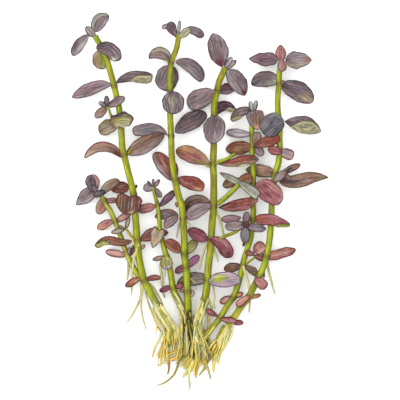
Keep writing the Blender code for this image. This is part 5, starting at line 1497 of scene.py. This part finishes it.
        Leaf("leaf_l06", (-46.6, 0.9, 5.6), (-51.4, -7.2, 2.4), 2.8, 3,
            coat("MAUVE ROSE_BROWN TAN ROSE_BROWN BEIGE"), widest=0.46, full=0.9),
        Leaf("leaf_l07", (-47.8, -0.6, 5.6), (-41, -0.2, 5.2), 1.5, 1.5, coat("MAROON ROSE ROSE_BROWN")),
        Leaf("leaf_l08", (-42.8, -10.2, 5.4), (-51.6, -14.6, 0.6), 2, 2.4, coat("ROSE ROSE ORANGE ORANGE")),
        Leaf("leaf_l09", (-43, -11.4, 5.4), (-34.4, -6.4, 4.2), 1.8, 1.8, coat("ROSE PINK PINK")),
        Leaf("leaf_l10", (-36, -28, 5.4), (-47.5, -26, 0.6), 2, 2, coat("ROSE_BROWN PINK PINK ROSE_BROWN")),
        Leaf("leaf_l03", (-51, 3.4, 6.6), (-54, 7.4, 8.6), 1.3, 1.3, coat("LAVENDER MAUVE PLUM")),
        Leaf("leaf_l04", (-47.5, 4.5, 6.4), (-53.5, 2, 7), 1.9, 1.6,
            coat("PLUM_BLACK CHARCOAL PLUM_BLACK")),
    ),
}

# Large leaves that are in another slot than the purple one.
LEAF_SLOTS = {
    Slot.LEAF_RED: "a13 a15 a16 c12 c15 d09 d10 d14 d15 d16 h04 e10 e12",
    Slot.LEAF_PINK: "d04 d06 d13 d18 e03 e11",
    Slot.LEAF_OLIVE: "c13 d12 e04",
}


def leaf_slot(name: str) -> Slot:
    """The record's slot of a leaf."""
    for slot, leaves in LEAF_SLOTS.items():
        if name.removeprefix("leaf_") in leaves.split():
            return slot
    return Slot.LEAF_PURPLE


@dataclass(frozen=True)
class Bunch:
    """The whole bunch: leaves, stems with their small growth, and roots.

    Every tube of a piece gets a number of its own, so that no two show the same streaks.
    """

    leaf_skin: bpy.types.Material
    stem_skin: bpy.types.Material
    root_skin: bpy.types.Material

    def build(self) -> None:
        """Make every piece."""
        for leaf in BIG_LEAVES:
            self.blade(leaf)
        for owner in SHOOTS:
            self.shoots(owner)
            self.small_leaves(owner)
            if owner in THREADS:
                self.threads(owner)
        for owner in ROOTS:
            self.roots(owner)

    def blade(self, leaf: Leaf) -> bpy.types.Object:
        """Make a large leaf, which stands for its own solid."""
        tissue = Tissue()
        leaf.grow(tissue, FOLDED_COLUMNS if leaf.flaps else BLADE_COLUMNS, BLADE_RINGS)
        return tissue.piece(f"{leaf.name}_blade", self.leaf_skin, leaf_slot(leaf.name), leaf.name)

    def shoots(self, owner: str) -> bpy.types.Object:
        """Make a stem with its side branches."""
        tissue = Tissue()
        for index, shoot in enumerate(SHOOTS[owner]):
            shoot.grow(tissue, STEM_SHIFT * index)
        return tissue.piece(f"{owner}_shoot", self.stem_skin, Slot.SHOOT_GREEN, owner)

    def small_leaves(self, owner: str) -> bpy.types.Object:
        """Make a stem's small leaves and buds as one piece."""
        tissue = Tissue()
        for leaf in SMALL_LEAVES[owner]:
            leaf.grow(tissue, FOLDED_COLUMNS if leaf.flaps else SMALL_COLUMNS, SMALL_RINGS)
        return tissue.piece(f"{owner}_small_leaves", self.leaf_skin, Slot.LEAF_PURPLE, owner)

    def threads(self, owner: str) -> bpy.types.Object:
        """Make a stem's hanging root threads as one piece."""
        tissue = Tissue()
        for index, thread in enumerate(THREADS[owner]):
            thread.grow(tissue, THREAD_SHIFT * index)
        return tissue.piece(f"{owner}_threads", self.root_skin, Slot.ROOT_AMBER, owner)

    def roots(self, owner: str) -> bpy.types.Object:
        """Make a mass of roots as one piece."""
        tissue = Tissue()
        fine = [root for tuft in TUFTS[owner] for root in tuft.roots(owner)]
        for index, root in enumerate([*ROOTS[owner], *fine]):
            root.grow(tissue, ROOT_SHIFT * index)
        return tissue.piece(f"{owner}_strands", self.root_skin, Slot.ROOT_AMBER, owner)


@dataclass(frozen=True)
class Studio:
    """Pale floor, soft light with a gentle key from the upper left, and a camera straight above."""

    floor_reach: float = 4.0
    floor_colour: tuple[float, float, float] = (0.96, 0.96, 0.96)
    paper_scale: float = 900.0  # of the floor's grain, per metre
    paper_depth: float = 0.00001
    sky_strength: float = 1.72
    key_strength: float = 1.0
    key_angle: float = math.radians(50)
    key_tilt: tuple[float, float] = (math.radians(-22), math.radians(-24))
    view_width: float = 0.2  # of the plan that the camera sees
    lens: float = 800.0
    sensor: float = 36.0
    far: float = 100.0
    focus: tuple[float, float, float] = (-0.00047, 0.0006, 0.006)

    def build(self) -> None:
        """Make all of it."""
        self.floor()
        self.light()
        self.camera()

    def floor(self) -> None:
        """Make the floor at the height that the bunch lies on."""
        bm = bmesh.new()
        bmesh.ops.create_grid(bm, x_segments=2, y_segments=2, size=self.floor_reach)
        mesh = bpy.data.meshes.new("floor")
        bm.to_mesh(mesh)
        bm.free()
        graph = Graph("floor_paper")
        place = graph.node("ShaderNodeTexCoord", out="Object")
        grain = graph.noise(place, self.paper_scale, 2.0)
        colour = graph.tinted((*self.floor_colour, 1.0), 1.0 + (grain - 0.5) * 0.02)
        graph.surface(colour, 0.9 + grain * 0.05, grain, self.paper_depth, 0.0)
        mesh.materials.append(graph.material)
        obj = bpy.data.objects.new("floor", mesh)
        bpy.context.collection.objects.link(obj)

    def light(self) -> None:
        """Make the sky and the key light."""
        world = bpy.data.worlds.new("studio")
        world.use_nodes = True
        sky = world.node_tree.nodes["Background"]
        sky.inputs["Color"].default_value = (1.0, 1.0, 1.0, 1.0)
        sky.inputs["Strength"].default_value = self.sky_strength
        bpy.context.scene.world = world
        key = bpy.data.lights.new("key", "SUN")
        key.energy = self.key_strength
        key.angle = self.key_angle
        obj = bpy.data.objects.new("key", key)
        obj.rotation_euler = (*self.key_tilt, 0.0)
        bpy.context.collection.objects.link(obj)

    def camera(self) -> None:
        """Make the camera, which looks straight down with the roots at the bottom of the picture."""
        data = bpy.data.cameras.new("camera")
        data.lens = self.lens
        data.sensor_width = self.sensor
        data.clip_end = self.far
        obj = bpy.data.objects.new("camera", data)
        away = self.view_width * self.lens / self.sensor
        obj.location = Vector(self.focus) + Vector((0, 0, away))
        bpy.context.collection.objects.link(obj)
        bpy.context.scene.camera = obj


def main() -> None:
    """Build the bunch and the studio round it."""
    logging.basicConfig(level=logging.INFO, format="%(message)s")
    bpy.context.scene.view_settings.view_transform = "Standard"
    bunch = Bunch(LEAF_SKIN.material(), STEM_SKIN.material(), ROOT_SKIN.material())
    bunch.build()
    Studio().build()


if __name__ == "__main__":
    main()
